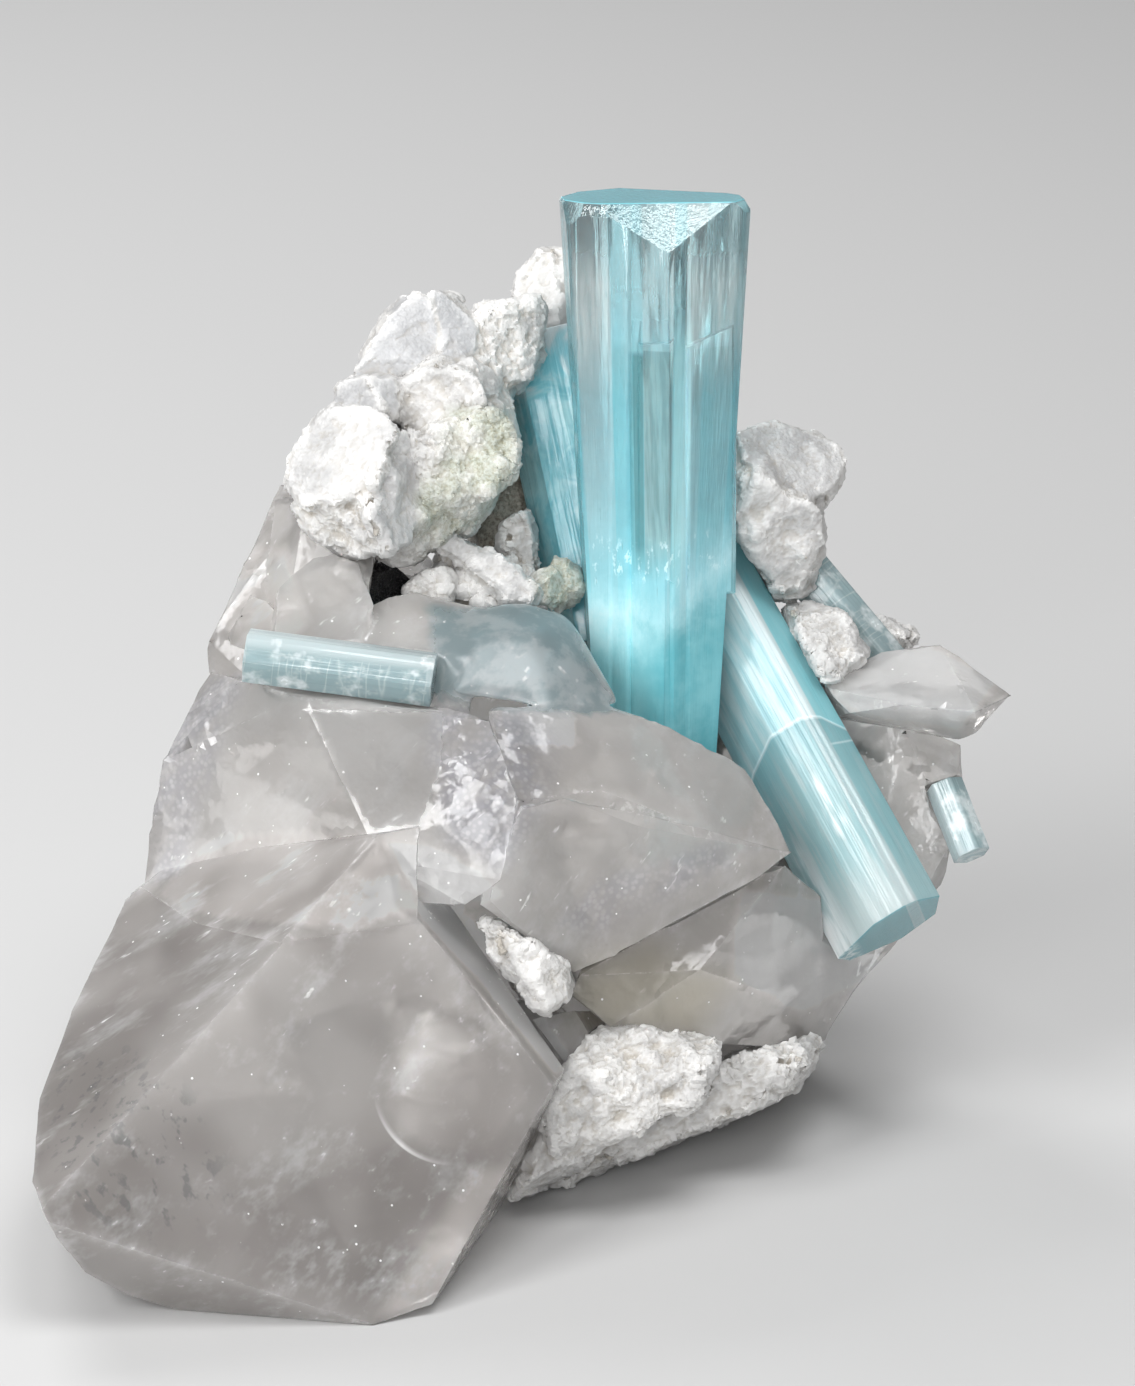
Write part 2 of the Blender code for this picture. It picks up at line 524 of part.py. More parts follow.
def rest_on_table(objects):
    """Cuts everything off flat at the table, puts the origin under the middle, and turns mm into metres."""
    wide = (-BLOCK, BLOCK)
    ground = Hull(*[Vector((x, y, z)) for x in wide for y in wide for z in (-BLOCK, 0.0)])
    for obj in objects:
        if min(v.co.z for v in obj.data.vertices) < 0:
            boolean(obj, "DIFFERENCE", [ground])
    places = [v.co for obj in objects for v in obj.data.vertices]
    low, high = (Vector([pick(p[k] for p in places) for k in range(3)]) for pick in (min, max))
    middle = (low + high) / 2
    shift = Vector((-middle.x, -middle.y, -low.z))
    for obj in objects:
        obj.data.transform(Matrix.Scale(MM, 4) @ Matrix.Translation(shift))


def give_material(obj):
    colour, roughness = MINERALS[obj.name.split("_")[0]]
    material = bpy.data.materials.new(obj.name)
    material.use_nodes = True
    shader = material.node_tree.nodes["Principled BSDF"]
    shader.inputs["Base Color"].default_value = (*colour, 1.0)
    shader.inputs["Roughness"].default_value = roughness
    material.diffuse_color = (*colour, 1.0)
    obj.data.materials.clear()
    obj.data.materials.append(material)
    for face in obj.data.polygons:
        face.use_smooth = False


for old in list(bpy.data.objects):
    bpy.data.objects.remove(old)
build()
rest_on_table(list(bpy.data.objects))
for made in bpy.data.objects:
    give_material(made)
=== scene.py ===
"""The looks of the aquamarine specimen: clear blue beryl on milky quartz and white albite.

Meshes are shaped in millimetres and stored in metres. Places are given as part.py gives them, by seen():
x to the right and down from the top left corner of the display field, and depth towards the eye.
"""

import itertools
import math

import bmesh
import bpy
import numpy as np
from mathutils import Matrix, Vector
from mathutils.bvhtree import BVHTree
from mathutils.geometry import delaunay_2d_cdt
from mathutils.kdtree import KDTree


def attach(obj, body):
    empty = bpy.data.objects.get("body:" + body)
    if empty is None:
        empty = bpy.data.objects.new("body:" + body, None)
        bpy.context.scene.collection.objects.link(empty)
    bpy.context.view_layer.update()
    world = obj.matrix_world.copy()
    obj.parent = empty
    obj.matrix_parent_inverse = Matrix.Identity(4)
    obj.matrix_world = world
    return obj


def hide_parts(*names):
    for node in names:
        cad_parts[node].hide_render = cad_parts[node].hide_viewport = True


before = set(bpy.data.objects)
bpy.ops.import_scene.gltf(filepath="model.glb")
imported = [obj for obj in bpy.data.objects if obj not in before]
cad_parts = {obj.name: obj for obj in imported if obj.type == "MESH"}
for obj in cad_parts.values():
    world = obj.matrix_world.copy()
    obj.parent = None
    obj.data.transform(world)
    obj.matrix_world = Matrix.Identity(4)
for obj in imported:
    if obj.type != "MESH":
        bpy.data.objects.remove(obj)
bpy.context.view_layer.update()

MM = 0.001

# The display field, as in part.py, and its middle in the row frame.
EYE_DISTANCE = 700.0
FIELD_SIZE = (113.5, 138.6)
FIELD_MIDDLE = (56.75, 69.3)
DISPLAY_TILT = math.radians(20.0)
MIDDLE = Vector((3.0931, 10.7784, 44.87))

# Foot and tip of each prism in the display field.
PRISMS = {
    "aquamarine_main": ((65.5, 84, -6.2), (65.5, 19.8, 6)),
    "aquamarine_leaning": ((68, 54.5, -14.2), (89, 93, -1)),
    "aquamarine_behind": ((61.2, 64, -9), (54.7, 33.5, -12)),
    "aquamarine_lying": ((43.4, 68, 17.5), (24.6, 65.5, 16.5)),
    "aquamarine_hidden": ((80, 56.3, -13.5), (88.8, 66.8, -12.5)),
    "aquamarine_sprig": ((94.4, 78.4, -8.5), (97.2, 85.6, -6)),
    "schorl": ((34, 56.5, -7), (39, 59.2, 2.5)),
}

# The outline of the large quartz point, whose faces are smooth.
POINT_OUTLINE = [
    (15.2, 89.1), (18.4, 86), (25, 83.5), (31.3, 83.1), (38, 83.5), (41.8, 89), (46.3, 91.3), (56.6, 107),
    (50, 120.9), (43.6, 130.2), (37.5, 132.5), (19.9, 131.6), (12.7, 129.7), (8.4, 127.3), (5.4, 122.8),
    (3.4, 118.1), (3.6, 112), (4.3, 108.4), (6.6, 102.4), (11.6, 91.8),
]


def seen(x, down, depth):
    """The place in mm that shows at x, down in the display field, at that depth towards the eye."""
    shrink = (EYE_DISTANCE - depth) / EYE_DISTANCE
    right = (x - FIELD_MIDDLE[0]) * shrink
    up = (FIELD_MIDDLE[1] - down) * shrink
    return MIDDLE + ACROSS * right + UPWARDS * up + TOWARDS_EYE * depth


ACROSS = Vector((1.0, 0.0, 0.0))
UPWARDS = Vector((0.0, math.sin(DISPLAY_TILT), math.cos(DISPLAY_TILT)))
TOWARDS_EYE = Vector((0.0, -math.cos(DISPLAY_TILT), math.sin(DISPLAY_TILT)))


def display_places(points):
    """Where points in mm show in the display field: x, down and depth."""
    place = points - np.array(MIDDLE)
    depth = place @ np.array(TOWARDS_EYE)
    shrink = (EYE_DISTANCE - depth) / EYE_DISTANCE
    x = FIELD_MIDDLE[0] + place @ np.array(ACROSS) / shrink
    down = FIELD_MIDDLE[1] - place @ np.array(UPWARDS) / shrink
    return x, down, depth


# ---- relief ----


def numbers_of(cells, seed):
    """Three numbers from 0 to 1 for each cell of a grid, always the same ones."""
    mask = 0xFFFFFFFF
    mixed = (cells @ np.array([73856093, 19349663, 83492791]) ^ (seed * 40503)) & mask
    found = []
    for factor in (0x2C1B3C6D, 0x297A2D39, 0x1B56C4E9):
        mixed = ((mixed ^ (mixed >> 15)) * factor) & mask
        mixed = mixed ^ (mixed >> 13)
        found.append(mixed / mask)
    return np.stack(found, axis=-1)


def soft_noise(points, seed):
    """Smooth noise from -1 to 1, with humps about 1 across."""
    base = np.floor(points).astype(np.int64)
    share = points - base
    share = share * share * (3 - 2 * share)
    total = np.zeros(len(points))
    for corner in itertools.product((0, 1), repeat=3):
        weight = np.prod(np.where(np.array(corner) == 1, share, 1 - share), axis=1)
        total += weight * numbers_of(base + corner, seed)[:, 0]
    return 2 * total - 1


def rough_noise(points, seed, octaves=4):
    total = sum(soft_noise(points * 2**k, seed + k) / 2**k for k in range(octaves))
    return total / 1.6


def nearest_cells(points, seed):
    """The cell that each point is nearest to, of scattered cells about 1 across."""
    base = np.floor(points).astype(np.int64)
    nearest = np.full(len(points), 99.0)
    cells = np.zeros_like(base)
    for corner in itertools.product((-1, 0, 1), repeat=3):
        place = points - (base + corner + numbers_of(base + corner, seed))
        away = (place**2).sum(axis=1)
        closer = away < nearest
        nearest = np.where(closer, away, nearest)
        cells = np.where(closer[:, None], base + corner, cells)
    return cells


def crystal_facets(points, seed, tilt, bowl):
    """The height of a surface broken into tilted, slightly hollow facets about 1 across."""
    cells = nearest_cells(points, seed)
    place = points - (cells + numbers_of(cells, seed))
    slopes = numbers_of(cells, seed + 7) * 2 - 1
    return (place * slopes).sum(axis=1) * tilt + (place**2).sum(axis=1) * bowl


def smooth_step(low, high, value):
    share = np.clip((value - low) / (high - low), 0, 1)
    return share * share * (3 - 2 * share)


def off_foot(places):
    """0 at the flat foot and 1 from 0.8 mm above it, so that relief leaves the foot flat."""
    return smooth_step(0.0, 0.8, places[:, 2])


# ---- meshes ----


def node_shape(name):
    """The CAD node as a bmesh in mm, its flat faces whole again."""
    shape = bmesh.new()
    shape.from_mesh(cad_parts[name].data)
    bmesh.ops.scale(shape, vec=(1 / MM,) * 3, verts=shape.verts[:])
    bmesh.ops.remove_doubles(shape, verts=shape.verts[:], dist=0.0005)
    nearly_flat = math.radians(0.4)
    bmesh.ops.dissolve_limit(shape, angle_limit=nearly_flat, verts=shape.verts[:], edges=shape.edges[:])
    return shape


def placed(name, data):
    """A new object of the scene, made of a mesh, a light or a camera."""
    obj = bpy.data.objects.new(name, data)
    bpy.context.scene.collection.objects.link(obj)
    return obj


def new_piece(name, shape, material, nodes, sharp):
    """Makes an object of a bmesh in mm, on the body root. Edges from sharp degrees on stay sharp."""
    mesh = bpy.data.meshes.new(name)
    shape.to_mesh(mesh)
    shape.free()
    mesh.transform(Matrix.Scale(MM, 4))
    mesh.materials.clear()
    mesh.materials.append(material)
    piece = placed(name, mesh)
    mesh.shade_smooth()
    mesh.set_sharp_from_angle(angle=math.radians(sharp))
    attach(piece, "root")
    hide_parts(*nodes)


def corners_of(shape):
    return np.array([vert.co for vert in shape.verts]), np.array([vert.normal for vert in shape.verts])


def move_corners(shape, places):
    for vert, place in zip(shape.verts, places):
        vert.co = place
    shape.normal_update()


def set_corner_values(shape, **values):
    """Stores numbers on the corners under these names, for a material to read."""
    for name, numbers in values.items():
        layer = shape.verts.layers.float.new(name)
        for vert, number in zip(shape.verts, numbers):
            vert[layer] = number


def press_flat(shape, size, reach, step, seed, share):
    """Presses a surface into flat plates about size wide that step up and down from one to the next.
    No corner moves further than reach, and each takes part as much as share says."""
    places, normals = corners_of(shape)
    ragged = np.stack([rough_noise(places / 1.1, seed + k, 3) for k in range(3)], axis=1)
    cells = nearest_cells(places / size + ragged * 0.5 / size, seed)
    kinds, group = np.unique(cells, axis=0, return_inverse=True)
    group = group.ravel()
    count = np.bincount(group)
    middle = np.stack([np.bincount(group, places[:, k]) / count for k in range(3)], axis=1)
    facing = np.stack([np.bincount(group, normals[:, k]) for k in range(3)], axis=1)
    facing /= np.maximum(np.linalg.norm(facing, axis=1), 1e-6)[:, None]
    middle += facing * ((numbers_of(kinds, seed + 5)[:, :1] * 2 - 1) * step)
    away = ((middle[group] - places) * facing[group]).sum(axis=1)
    slant = (normals * facing[group]).sum(axis=1)
    move = np.clip(away / np.maximum(slant, 0.5), -reach, reach) * smooth_step(0.15, 0.5, slant) * share
    move_corners(shape, places + normals * (move * off_foot(places))[:, None])


def hollows(shape, times):
    """How many mm each corner lies under the surface around it, smoothed some times. Ridges are below 0."""
    places, normals = corners_of(shape)
    shape.verts.index_update()
    ends = np.array([[vert.index for vert in edge.verts] for edge in shape.edges])
    both = np.concatenate([ends, ends[:, ::-1]])
    count = np.maximum(np.bincount(both[:, 0], minlength=len(places)), 1)
    smooth = places.copy()
    for _ in range(times):
        around = [np.bincount(both[:, 0], smooth[both[:, 1], k], len(places)) / count for k in range(3)]
        smooth = (smooth + np.stack(around, axis=1)) / 2
    return ((smooth - places) * normals).sum(axis=1)


def smooth_down(shape, verts, times):
    for _ in range(times):
        bmesh.ops.smooth_vert(
            shape, verts=verts, factor=0.5, use_axis_x=True, use_axis_y=True, use_axis_z=True
        )


PLATE_THICKNESS = 3.0


def plane_under(tree, rim):
    """The plane that fits the surface in tree best where rim shows: depth at the middle, and two slopes."""
    middle = rim.mean(axis=0)
    samples = np.concatenate([rim * 0.75 + middle * 0.25, rim * 0.4 + middle * 0.6, [middle]])
    eye = seen(*FIELD_MIDDLE, EYE_DISTANCE - 1.0)
    struck = []
    for x, down in samples:
        place = tree.ray_cast(eye, seen(x, down, 0.0) - eye)[0]
        if place is not None:
            struck.append((x, down, display_places(np.array([place]))[2][0]))
    struck = np.array(struck)
    struck = struck[struck[:, 2] > np.median(struck[:, 2]) - 4.0]
    table = np.column_stack([np.ones(len(struck)), struck[:, :2] - middle])
    level, across, along = np.linalg.lstsq(table, struck[:, 2], rcond=None)[0]
    return level, *np.clip((across, along), -1.3, 1.3)


def add_plate(shape, tree, outline, lift, seed):
    """Adds a flat slab with a ragged rim to a mass whose surface is in tree. It shows as outline in the
    display field and lies lift mm in front of the plane that fits the surface under it best."""
    rim = np.array(outline)
    middle = rim.mean(axis=0)
    level, across, along = plane_under(tree, rim)
    ring = []
    for start, end in zip(rim, np.roll(rim, -1, axis=0)):
        parts = max(1, int(np.linalg.norm(end - start) / 0.55))
        out = np.array([end[1] - start[1], start[0] - end[0]]) / max(np.linalg.norm(end - start), 1e-6)
        for k in range(parts):
            number = numbers_of(np.array([[len(ring), k, seed]]), seed)[0, 0]
            ring.append(start + (end - start) * k / parts + out * (number - 0.5) * 0.5)
    depths = [level + across * (x - middle[0]) + along * (down - middle[1]) + lift for x, down in ring]
    front, back = (
        [shape.verts.new(seen(*place, depth - drop)) for place, depth in zip(ring, depths)]
        for drop in (0.0, PLATE_THICKNESS)
    )
    faces = [shape.faces.new(front), shape.faces.new(back[::-1])]
    for k in range(len(ring)):
        faces.append(shape.faces.new((front[k - 1], back[k - 1], back[k], front[k])))
    bmesh.ops.recalc_face_normals(shape, faces=faces)
    bmesh.ops.triangulate(shape, faces=faces[:2])


def remeshed(shape, voxel):
    """The same form in small, even faces."""
    mesh = bpy.data.meshes.new("rough")
    shape.to_mesh(mesh)
    shape.free()
    obj = placed("rough", mesh)
    modifier = obj.modifiers.new("remesh", "REMESH")
    modifier.mode = "VOXEL"
    modifier.voxel_size = voxel
    graph = bpy.context.evaluated_depsgraph_get()
    made = bpy.data.meshes.new_from_object(obj.evaluated_get(graph))
    bpy.data.objects.remove(obj)
    result = bmesh.new()
    result.from_mesh(made)
    bpy.data.meshes.remove(made)
    return result


def bevel_edges(shape, width, segments=2):
    """Rounds the edges where faces meet at more than 12 degrees."""
    limit = math.radians(12.0)
    edges = [edge for edge in shape.edges if edge.is_manifold and edge.calc_face_angle() > limit]
    bmesh.ops.bevel(
        shape, geom=edges, offset=width, segments=segments, profile=0.5, affect="EDGES", clamp_overlap=True
    )


def split_long_edges(shape, spacing):
    for edge in shape.edges[:]:
        start, end = edge.verts
        parts = max(1, round(edge.calc_length() / spacing))
        for left in range(parts, 1, -1):
            edge = shape.edges.get((start, end))
            start = bmesh.utils.edge_split(edge, start, 1 / left)[1]


def fill_finely(shape, spacing):
    """Cuts flat faces into even triangles about as wide as spacing, so that they can take relief."""
    split_long_edges(shape, spacing)
    shape.normal_update()
    for face in shape.faces[:]:
        if len(face.verts) > 3:
            fill_face(shape, face, spacing)


def fill_face(shape, face, spacing):
    origin, normal = face.verts[0].co.copy(), face.normal.copy()
    right = normal.orthogonal().normalized()
    up = normal.cross(right)
    verts = face.verts[:]
    rim = [Vector(((v.co - origin).dot(right), (v.co - origin).dot(up))) for v in verts]
    inner = inner_points(np.array(rim), spacing)
    found = delaunay_2d_cdt(rim + inner, [], [list(range(len(rim)))], 1, 1e-5)
    places, triangles, origins = found[0], found[2], found[3]
    made = {}
    for triangle in triangles:
        corners = []
        for k in triangle:
            old = [n for n in origins[k] if n < len(verts)]
            if old:
                corners.append(verts[old[0]])
                continue
            if k not in made:
                made[k] = shape.verts.new(origin + right * places[k].x + up * places[k].y)
            corners.append(made[k])
        if len(set(corners)) == 3 and shape.faces.get(corners) is None:
            shape.faces.new(corners)
    shape.faces.remove(face)


TRIANGLE_HEIGHT = 0.866  # as a share of its side


def inner_points(rim, spacing):
    """Points of a triangular grid inside a rim, not close to it."""
    low, high = rim.min(axis=0), rim.max(axis=0)
    rows = int((high[1] - low[1]) / (spacing * TRIANGLE_HEIGHT)) + 1
    columns = int((high[0] - low[0]) / spacing) + 1
    grid = np.array([
        (low[0] + (column + row % 2 / 2) * spacing, low[1] + (row + 0.5) * spacing * TRIANGLE_HEIGHT)
        for row in range(rows)
        for column in range(columns + 1)
    ])
    return [
        Vector(place)
        for some in np.array_split(grid, max(1, len(grid) * len(rim) // 2000000))
        for place in some[border_distance(some, rim)[0] > spacing * 0.55]
    ]


def border_distance(places, rim):
    """How far places lie from the closed line through the corners rim. Also the way to each place from the
    start of each stretch of the line, and the stretches."""
    way = np.roll(rim, -1, axis=0) - rim
    offset = places[:, None] - rim[None]
    share = np.clip((offset * way).sum(axis=2) / np.maximum((way**2).sum(axis=1), 1e-12), 0, 1)
    away = np.sqrt(((offset - share[..., None] * way) ** 2).sum(axis=2)).min(axis=1)
    return away, offset, way


def inside_outline(x, down, outline, soft):
    """From 0 outside an outline in the display field to 1 inside it, over a border soft mm wide."""
    away, offset, way = border_distance(np.stack([x, down], axis=1), np.array(outline))
    crosses = (offset[..., 1] < 0) != (offset[..., 1] - way[:, 1] < 0)
    at = offset[..., 0] - way[:, 0] * offset[..., 1] / np.where(way[:, 1] == 0, 1e-9, way[:, 1])
    inside = (crosses & (at < 0)).sum(axis=1) % 2 == 1
    return smooth_step(-soft / 2, soft / 2, np.where(inside, away, -away))


# ---- materials ----


class Value:
    """What one socket of a material gives, with short ways to work on it."""

    def __init__(self, shader, socket):
        self.shader, self.socket = shader, socket

    def math(self, operation, *others):
        return self.shader.add("Math", 0, (self, *others), operation=operation)

    def __mul__(self, other):
        return self.math("MULTIPLY", other)

    def __add__(self, other):
        return self.math("ADD", other)

    def __sub__(self, other):
        return self.math("SUBTRACT", other)

    def most(self, other):
        return self.math("MAXIMUM", other)

    def clamped(self):
        """The value kept from 0 to 1. It has to come from a sum or a product."""
        self.socket.node.use_clamp = True
        return self

    def step(self, low, high, a=0.0, b=1.0):
        """From a to b as the value goes from low to high."""
        return self.shader.add("MapRange", 0, (self, low, high, a, b), interpolation_type="SMOOTHSTEP")

    def curve(self, *points):
        """The value read from (from, to) points joined by straight lines."""
        low, high = points[0][0], points[-1][0]
        top = max(height for _, height in points)
        share = self.shader.add("MapRange", 0, (self, low, high, 0.0, 1.0))
        ramp = self.shader.add("ValToRGB", 0, (share,))
        stops = ramp.socket.node.color_ramp.elements
        for k, (place, height) in enumerate(points):
            stop = stops[k] if k < 2 else stops.new(1.0)
            stop.position = (place - low) / (high - low)
            stop.color = (height / top,) * 3 + (1.0,)
        return ramp * top

    def mix(self, a, b):
        """The colour a where the value is 0, and b where it is 1."""
        mixed = self.shader.add("Mix", 2, data_type="RGBA")
        inputs = mixed.socket.node.inputs
        for socket, value in ((inputs[0], self), (inputs[6], a), (inputs[7], b)):
            self.shader.give(socket, value)
        return mixed


class Shader:
    """A Principled material, with short ways to add the nodes that feed it. Places are in mm."""

    def __init__(self, name, **plain):
        self.material = bpy.data.materials.new(name)
        self.material.use_nodes = True
        self.tree = self.material.node_tree
        self.main = self.tree.nodes["Principled BSDF"]
        self.main.subsurface_method = "BURLEY"
        self.feed(**plain)
        where = self.add("TexCoord", "Object")
        self.place = self.add("VectorMath", 0, (where,), operation="SCALE", Scale=1 / MM)

    def give(self, socket, value):
        if isinstance(value, Value):
            self.tree.links.new(value.socket, socket)
        elif socket.type == "RGBA" and len(value) == 3:
            socket.default_value = (*value, 1.0)
        else:
            socket.default_value = value

    def feed(self, **values):
        """Gives the Principled node its values, by the names of its sockets."""
        for key, value in values.items():
            self.give(self.main.inputs[key.replace("_", " ")], value)

    def add(self, kind, output=0, links=(), **values):
        """Adds a node, with its settings and sockets by name, and links for its first sockets."""
        node = self.tree.nodes.new("ShaderNode" + kind)
        for key, value in values.items():
            if hasattr(node, key):
                setattr(node, key, value)
            else:
                self.give(node.inputs[key.replace("_", " ")], value)
        for socket, value in zip(node.inputs, links):
            self.give(socket, value)
        return Value(self, node.outputs[output])

    def noise(self, size, place=None, detail=4.0, roughness=0.55, distortion=0.0):
        """Cloudy noise about 0.5, with features about size mm across."""
        return self.add(
            "TexNoise", Vector=place or self.place, Scale=1 / size, Detail=detail,
            Roughness=roughness, Distortion=distortion,
        )

    def cells(self, size):
        """The distance to the nearest of scattered points about size mm apart."""
        return self.add("TexVoronoi", "Distance", Vector=self.place, Scale=1 / size)

    def value(self, name):
        """A number stored on the mesh's corners."""
        return self.add("Attribute", "Fac", attribute_name=name)

    def stretch(self, *factors):
        return self.add("VectorMath", 0, (self.place, factors), operation="MULTIPLY")

    def turned(self, turn, scale=(1, 1, 1), middle=(0, 0, 0)):
        """Places from middle along axes turned by turn, in units of scale."""
        places = {"Vector": self.place, "Location": middle, "Rotation": turn, "Scale": scale}
        return self.add("Mapping", vector_type="TEXTURE", **places)

    def bump(self, *layers):
        """Relief from (height, depth in mm) layers."""
        normal = {}
        for height, depth in layers:
            made = self.add("Bump", Height=height, Distance=depth * MM, Strength=1.0, **normal)
            normal = {"Normal": made}
        self.feed(**normal)


class Axis:
    """A prism's own directions: to its side, to its front and along it, from its tip."""

    def __init__(self, name):
        foot, self.tip = (seen(*place) for place in PRISMS[name])
        self.along = (self.tip - foot).normalized()
        self.front = (TOWARDS_EYE - self.along * TOWARDS_EYE.dot(self.along)).normalized()
        self.side = self.along.cross(self.front)

    def local(self, points):
        return (points - np.array(self.tip)) @ np.array([self.side, self.front, self.along]).T

    def coordinates(self, shader):
        """The place in mm to the side, to the front and along the prism, for a material."""
        turned = Matrix([-self.side, self.front, self.along]).transposed().to_euler()
        return shader.turned(turned, (-1, 1, 1), self.tip)


# ---- albite ----


def albite_material():
    """White and platy or sugary, with a painted highlight on ridges and painted warm shade in crevices,
    green stains, and a hollow painted brown as shade.
    """
    shader = Shader(
        "albite", IOR=1.53, Subsurface_Weight=0.5, Subsurface_Scale=0.001,
        Subsurface_Radius=(1.0, 0.97, 0.93),
    )
    sugar = shader.value("sugar")
    patch = shader.noise(6.0).step(0.40, 0.62)
    crumb = shader.noise(0.4, detail=2.0, roughness=0.7)
    white = patch.mix((0.66, 0.65, 0.635), (0.58, 0.575, 0.57))
    white = (sugar * crumb.step(0.5, 0.7)).mix(white, (0.72, 0.71, 0.69))
    white = shader.value("quiet").step(0.25, 0.60, 0.0, 0.8).mix(white, (0.50, 0.51, 0.53))
    # Painted highlight on ridges and painted warm shade in crevices.
    white = (shader.value("ridge") * 0.6).mix(white, (0.84, 0.835, 0.825))
    white = (shader.value("pit") * 0.70).mix(white, (0.45, 0.41, 0.35))
    green = crumb.step(0.35, 0.6).mix((0.40, 0.40, 0.27), (0.62, 0.67, 0.58))
    white = (shader.value("green") * patch.step(0, 1, 0.25, 0.75)).mix(white, green)
    # Painted shade: the hollow below the crown is painted dark brown.
    brown = crumb.step(0.35, 0.62).mix((0.30, 0.26, 0.21), (0.56, 0.52, 0.45))
    shader.feed(
        Base_Color=shader.value("brown").mix(white, brown),
        Roughness=sugar.step(0, 1, 0.30, 0.62),
        Transmission_Weight=patch.step(0.3, 0.9, 0.0, 0.15),
    )
    rough = sugar.step(0, 1, 0.5, 1.0)
    shader.bump((shader.cells(0.35) * rough, 0.08), (crumb * rough, 0.12))
    return shader.material


ALBITE_STEP = 0.26  # mm from one growth layer to the next


def albite_piece(name, voxel, material, seed, plates=(), green=(), brown=(), wall=()):
    """A mass of albite, broken into flat facets, with a sugary crust here and there. plates are slabs on its
    front, given as CROWN_PLATES is, green outlines where it is stained, brown outlines where it is painted
    brown as shade in a hollow, and wall the corners of a hull added to it."""
    shape = node_shape(name)
    tree = BVHTree.FromBMesh(shape)
    for k, (_, lift, outline) in enumerate(plates):
        add_plate(shape, tree, outline, lift * 1.5 + 0.25, seed + k)
    if wall:
        bmesh.ops.convex_hull(shape, input=[shape.verts.new(seen(*corner)) for corner in wall])
    shape = remeshed(shape, voxel)
    places = corners_of(shape)[0]
    x, down, depth = display_places(places)

    def within(outline, soft):
        return inside_outline(x, down, outline, soft) if outline else np.zeros(len(x))

    sugar = smooth_step(-0.2, 0.4, rough_noise(places / 6.0, seed + 40))
    loose = np.ones(len(x))
    for share, _, outline in plates:
        inside = within(outline, 0.8) * smooth_step(-12.0, -9.0, depth)
        sugar = sugar * (1 - inside) + share * inside
        loose = np.minimum(loose, 1 - inside * 0.8)
    smooth_down(shape, [vert for vert, free in zip(shape.verts, loose) if free > 0.9], 2)
    shape.normal_update()
    press_flat(shape, 3.4, 0.4, 0.08, seed, loose)
    press_flat(shape, 1.7, 0.28, 0.10, seed + 50, 0.15 + 0.85 * sugar)
    press_flat(shape, 0.8, 0.18, 0.10, seed + 60, sugar)
    places, normals = corners_of(shape)
    swell = rough_noise(places / 3.2, seed + 70, 5) * 1.3
    terraces = np.round(swell / ALBITE_STEP) * ALBITE_STEP
    quiet = (1 - loose) * (1 - sugar) * 0.8
    crumbs = rough_noise(places / 0.8, seed + 31, 3) * 0.14 * sugar
    lift = 0.2 + terraces * (0.45 + 0.55 * sugar) * (1 - quiet) + crumbs
    facing = smooth_step(0.0, 0.3, normals @ np.array(TOWARDS_EYE))
    set_corner_values(
        shape, quiet=quiet, sugar=sugar,
        green=within(green, 2.5) * smooth_step(-16.0, -12.0, depth),
        # brown: painted shade in the hollow, on faces that face the eye.
        brown=within(brown, 2.0) * smooth_step(-6.5, -9.0, depth) * facing,
    )
    move_corners(shape, places + normals * (lift * off_foot(places))[:, None])
    # How far each corner lies under or above the surface around it, for painted shade in crevices and a
    # painted highlight on ridges.
    fine, wide = hollows(shape, 6) * (1 - 0.8 * quiet), hollows(shape, 40)
    set_corner_values(
        shape,
        pit=np.clip(fine / 0.10, 0, 0.38) + np.clip(wide / 0.45, 0, 0.8),
        ridge=np.clip(-fine / 0.10, 0, 0.6) + np.clip(-wide / 0.6, 0, 0.4),
    )
    new_piece(name + "_crust", shape, material, [name], sharp=32)


# ---- quartz ----

QUARTZ_SPACING = 0.75

# Outlines in the display field of what shows in the quartz. GHOST is a pale beryl under it, HUMP a smooth
# hump, CRACKED, RAGGED and FRINGE are full of small cracks, FROSTY has white streaks, SPECKLED dark specks,
# STAINED a brown stain from iron, and CAP is the milky cap of the large point.
GHOST = [
    (43, 60.3), (46.5, 60.8), (52, 59.5), (57.5, 61), (59.2, 66.6), (62.8, 70.9), (56, 71.2), (49.5, 70.6),
    (43, 69.9),
]
HUMP = [
    (26.5, 71), (26.5, 66), (31, 62.5), (38, 61), (44, 58.5), (52, 58), (59, 60), (60.5, 66), (64, 71.5),
    (43, 70.5),
]
CRACKED = [(43.5, 70.5), (51, 70.5), (55.5, 74), (54.5, 80), (50, 87), (45, 84), (43, 77)]
RAGGED = [(15, 88), (14.5, 80), (16.5, 73), (19.5, 67), (24.5, 67.5), (22.5, 74), (19.5, 82), (18, 88)]
FROSTY = [
    [(22, 121), (27, 116), (33, 112.5), (36, 113.5), (32, 117), (25, 122.5)],
    [(24, 127), (31, 124), (40, 124.5), (49, 127.5), (46, 130.5), (34, 130)],
    [(9, 122), (14, 118), (17, 121), (12, 125.5)],
]
FRINGE = [(56, 92.5), (60, 88), (66, 86.5), (72, 84), (73, 86.5), (66, 90), (60, 93)]
SPECKLED = [(6, 106), (12, 104.5), (19, 110), (23.5, 119.5), (15, 124), (7.5, 121.5), (4.5, 114)]
CAP = [
    (16, 89.4), (18.2, 85.9), (22.1, 83.7), (28.2, 83.1), (37, 83.4), (43.1, 84.6), (47.5, 86.9),
    (50.1, 89.4), (47.5, 90.7), (40.5, 91.3), (35.2, 92.7), (28.2, 92.4), (22.1, 91.8), (17.7, 90.7),
]
# An arc in the large point: its centre in the field, its radius, and from and to which angle.
POINT_ARC = (45.5, 108, 7.6, -3.05, -1.5)
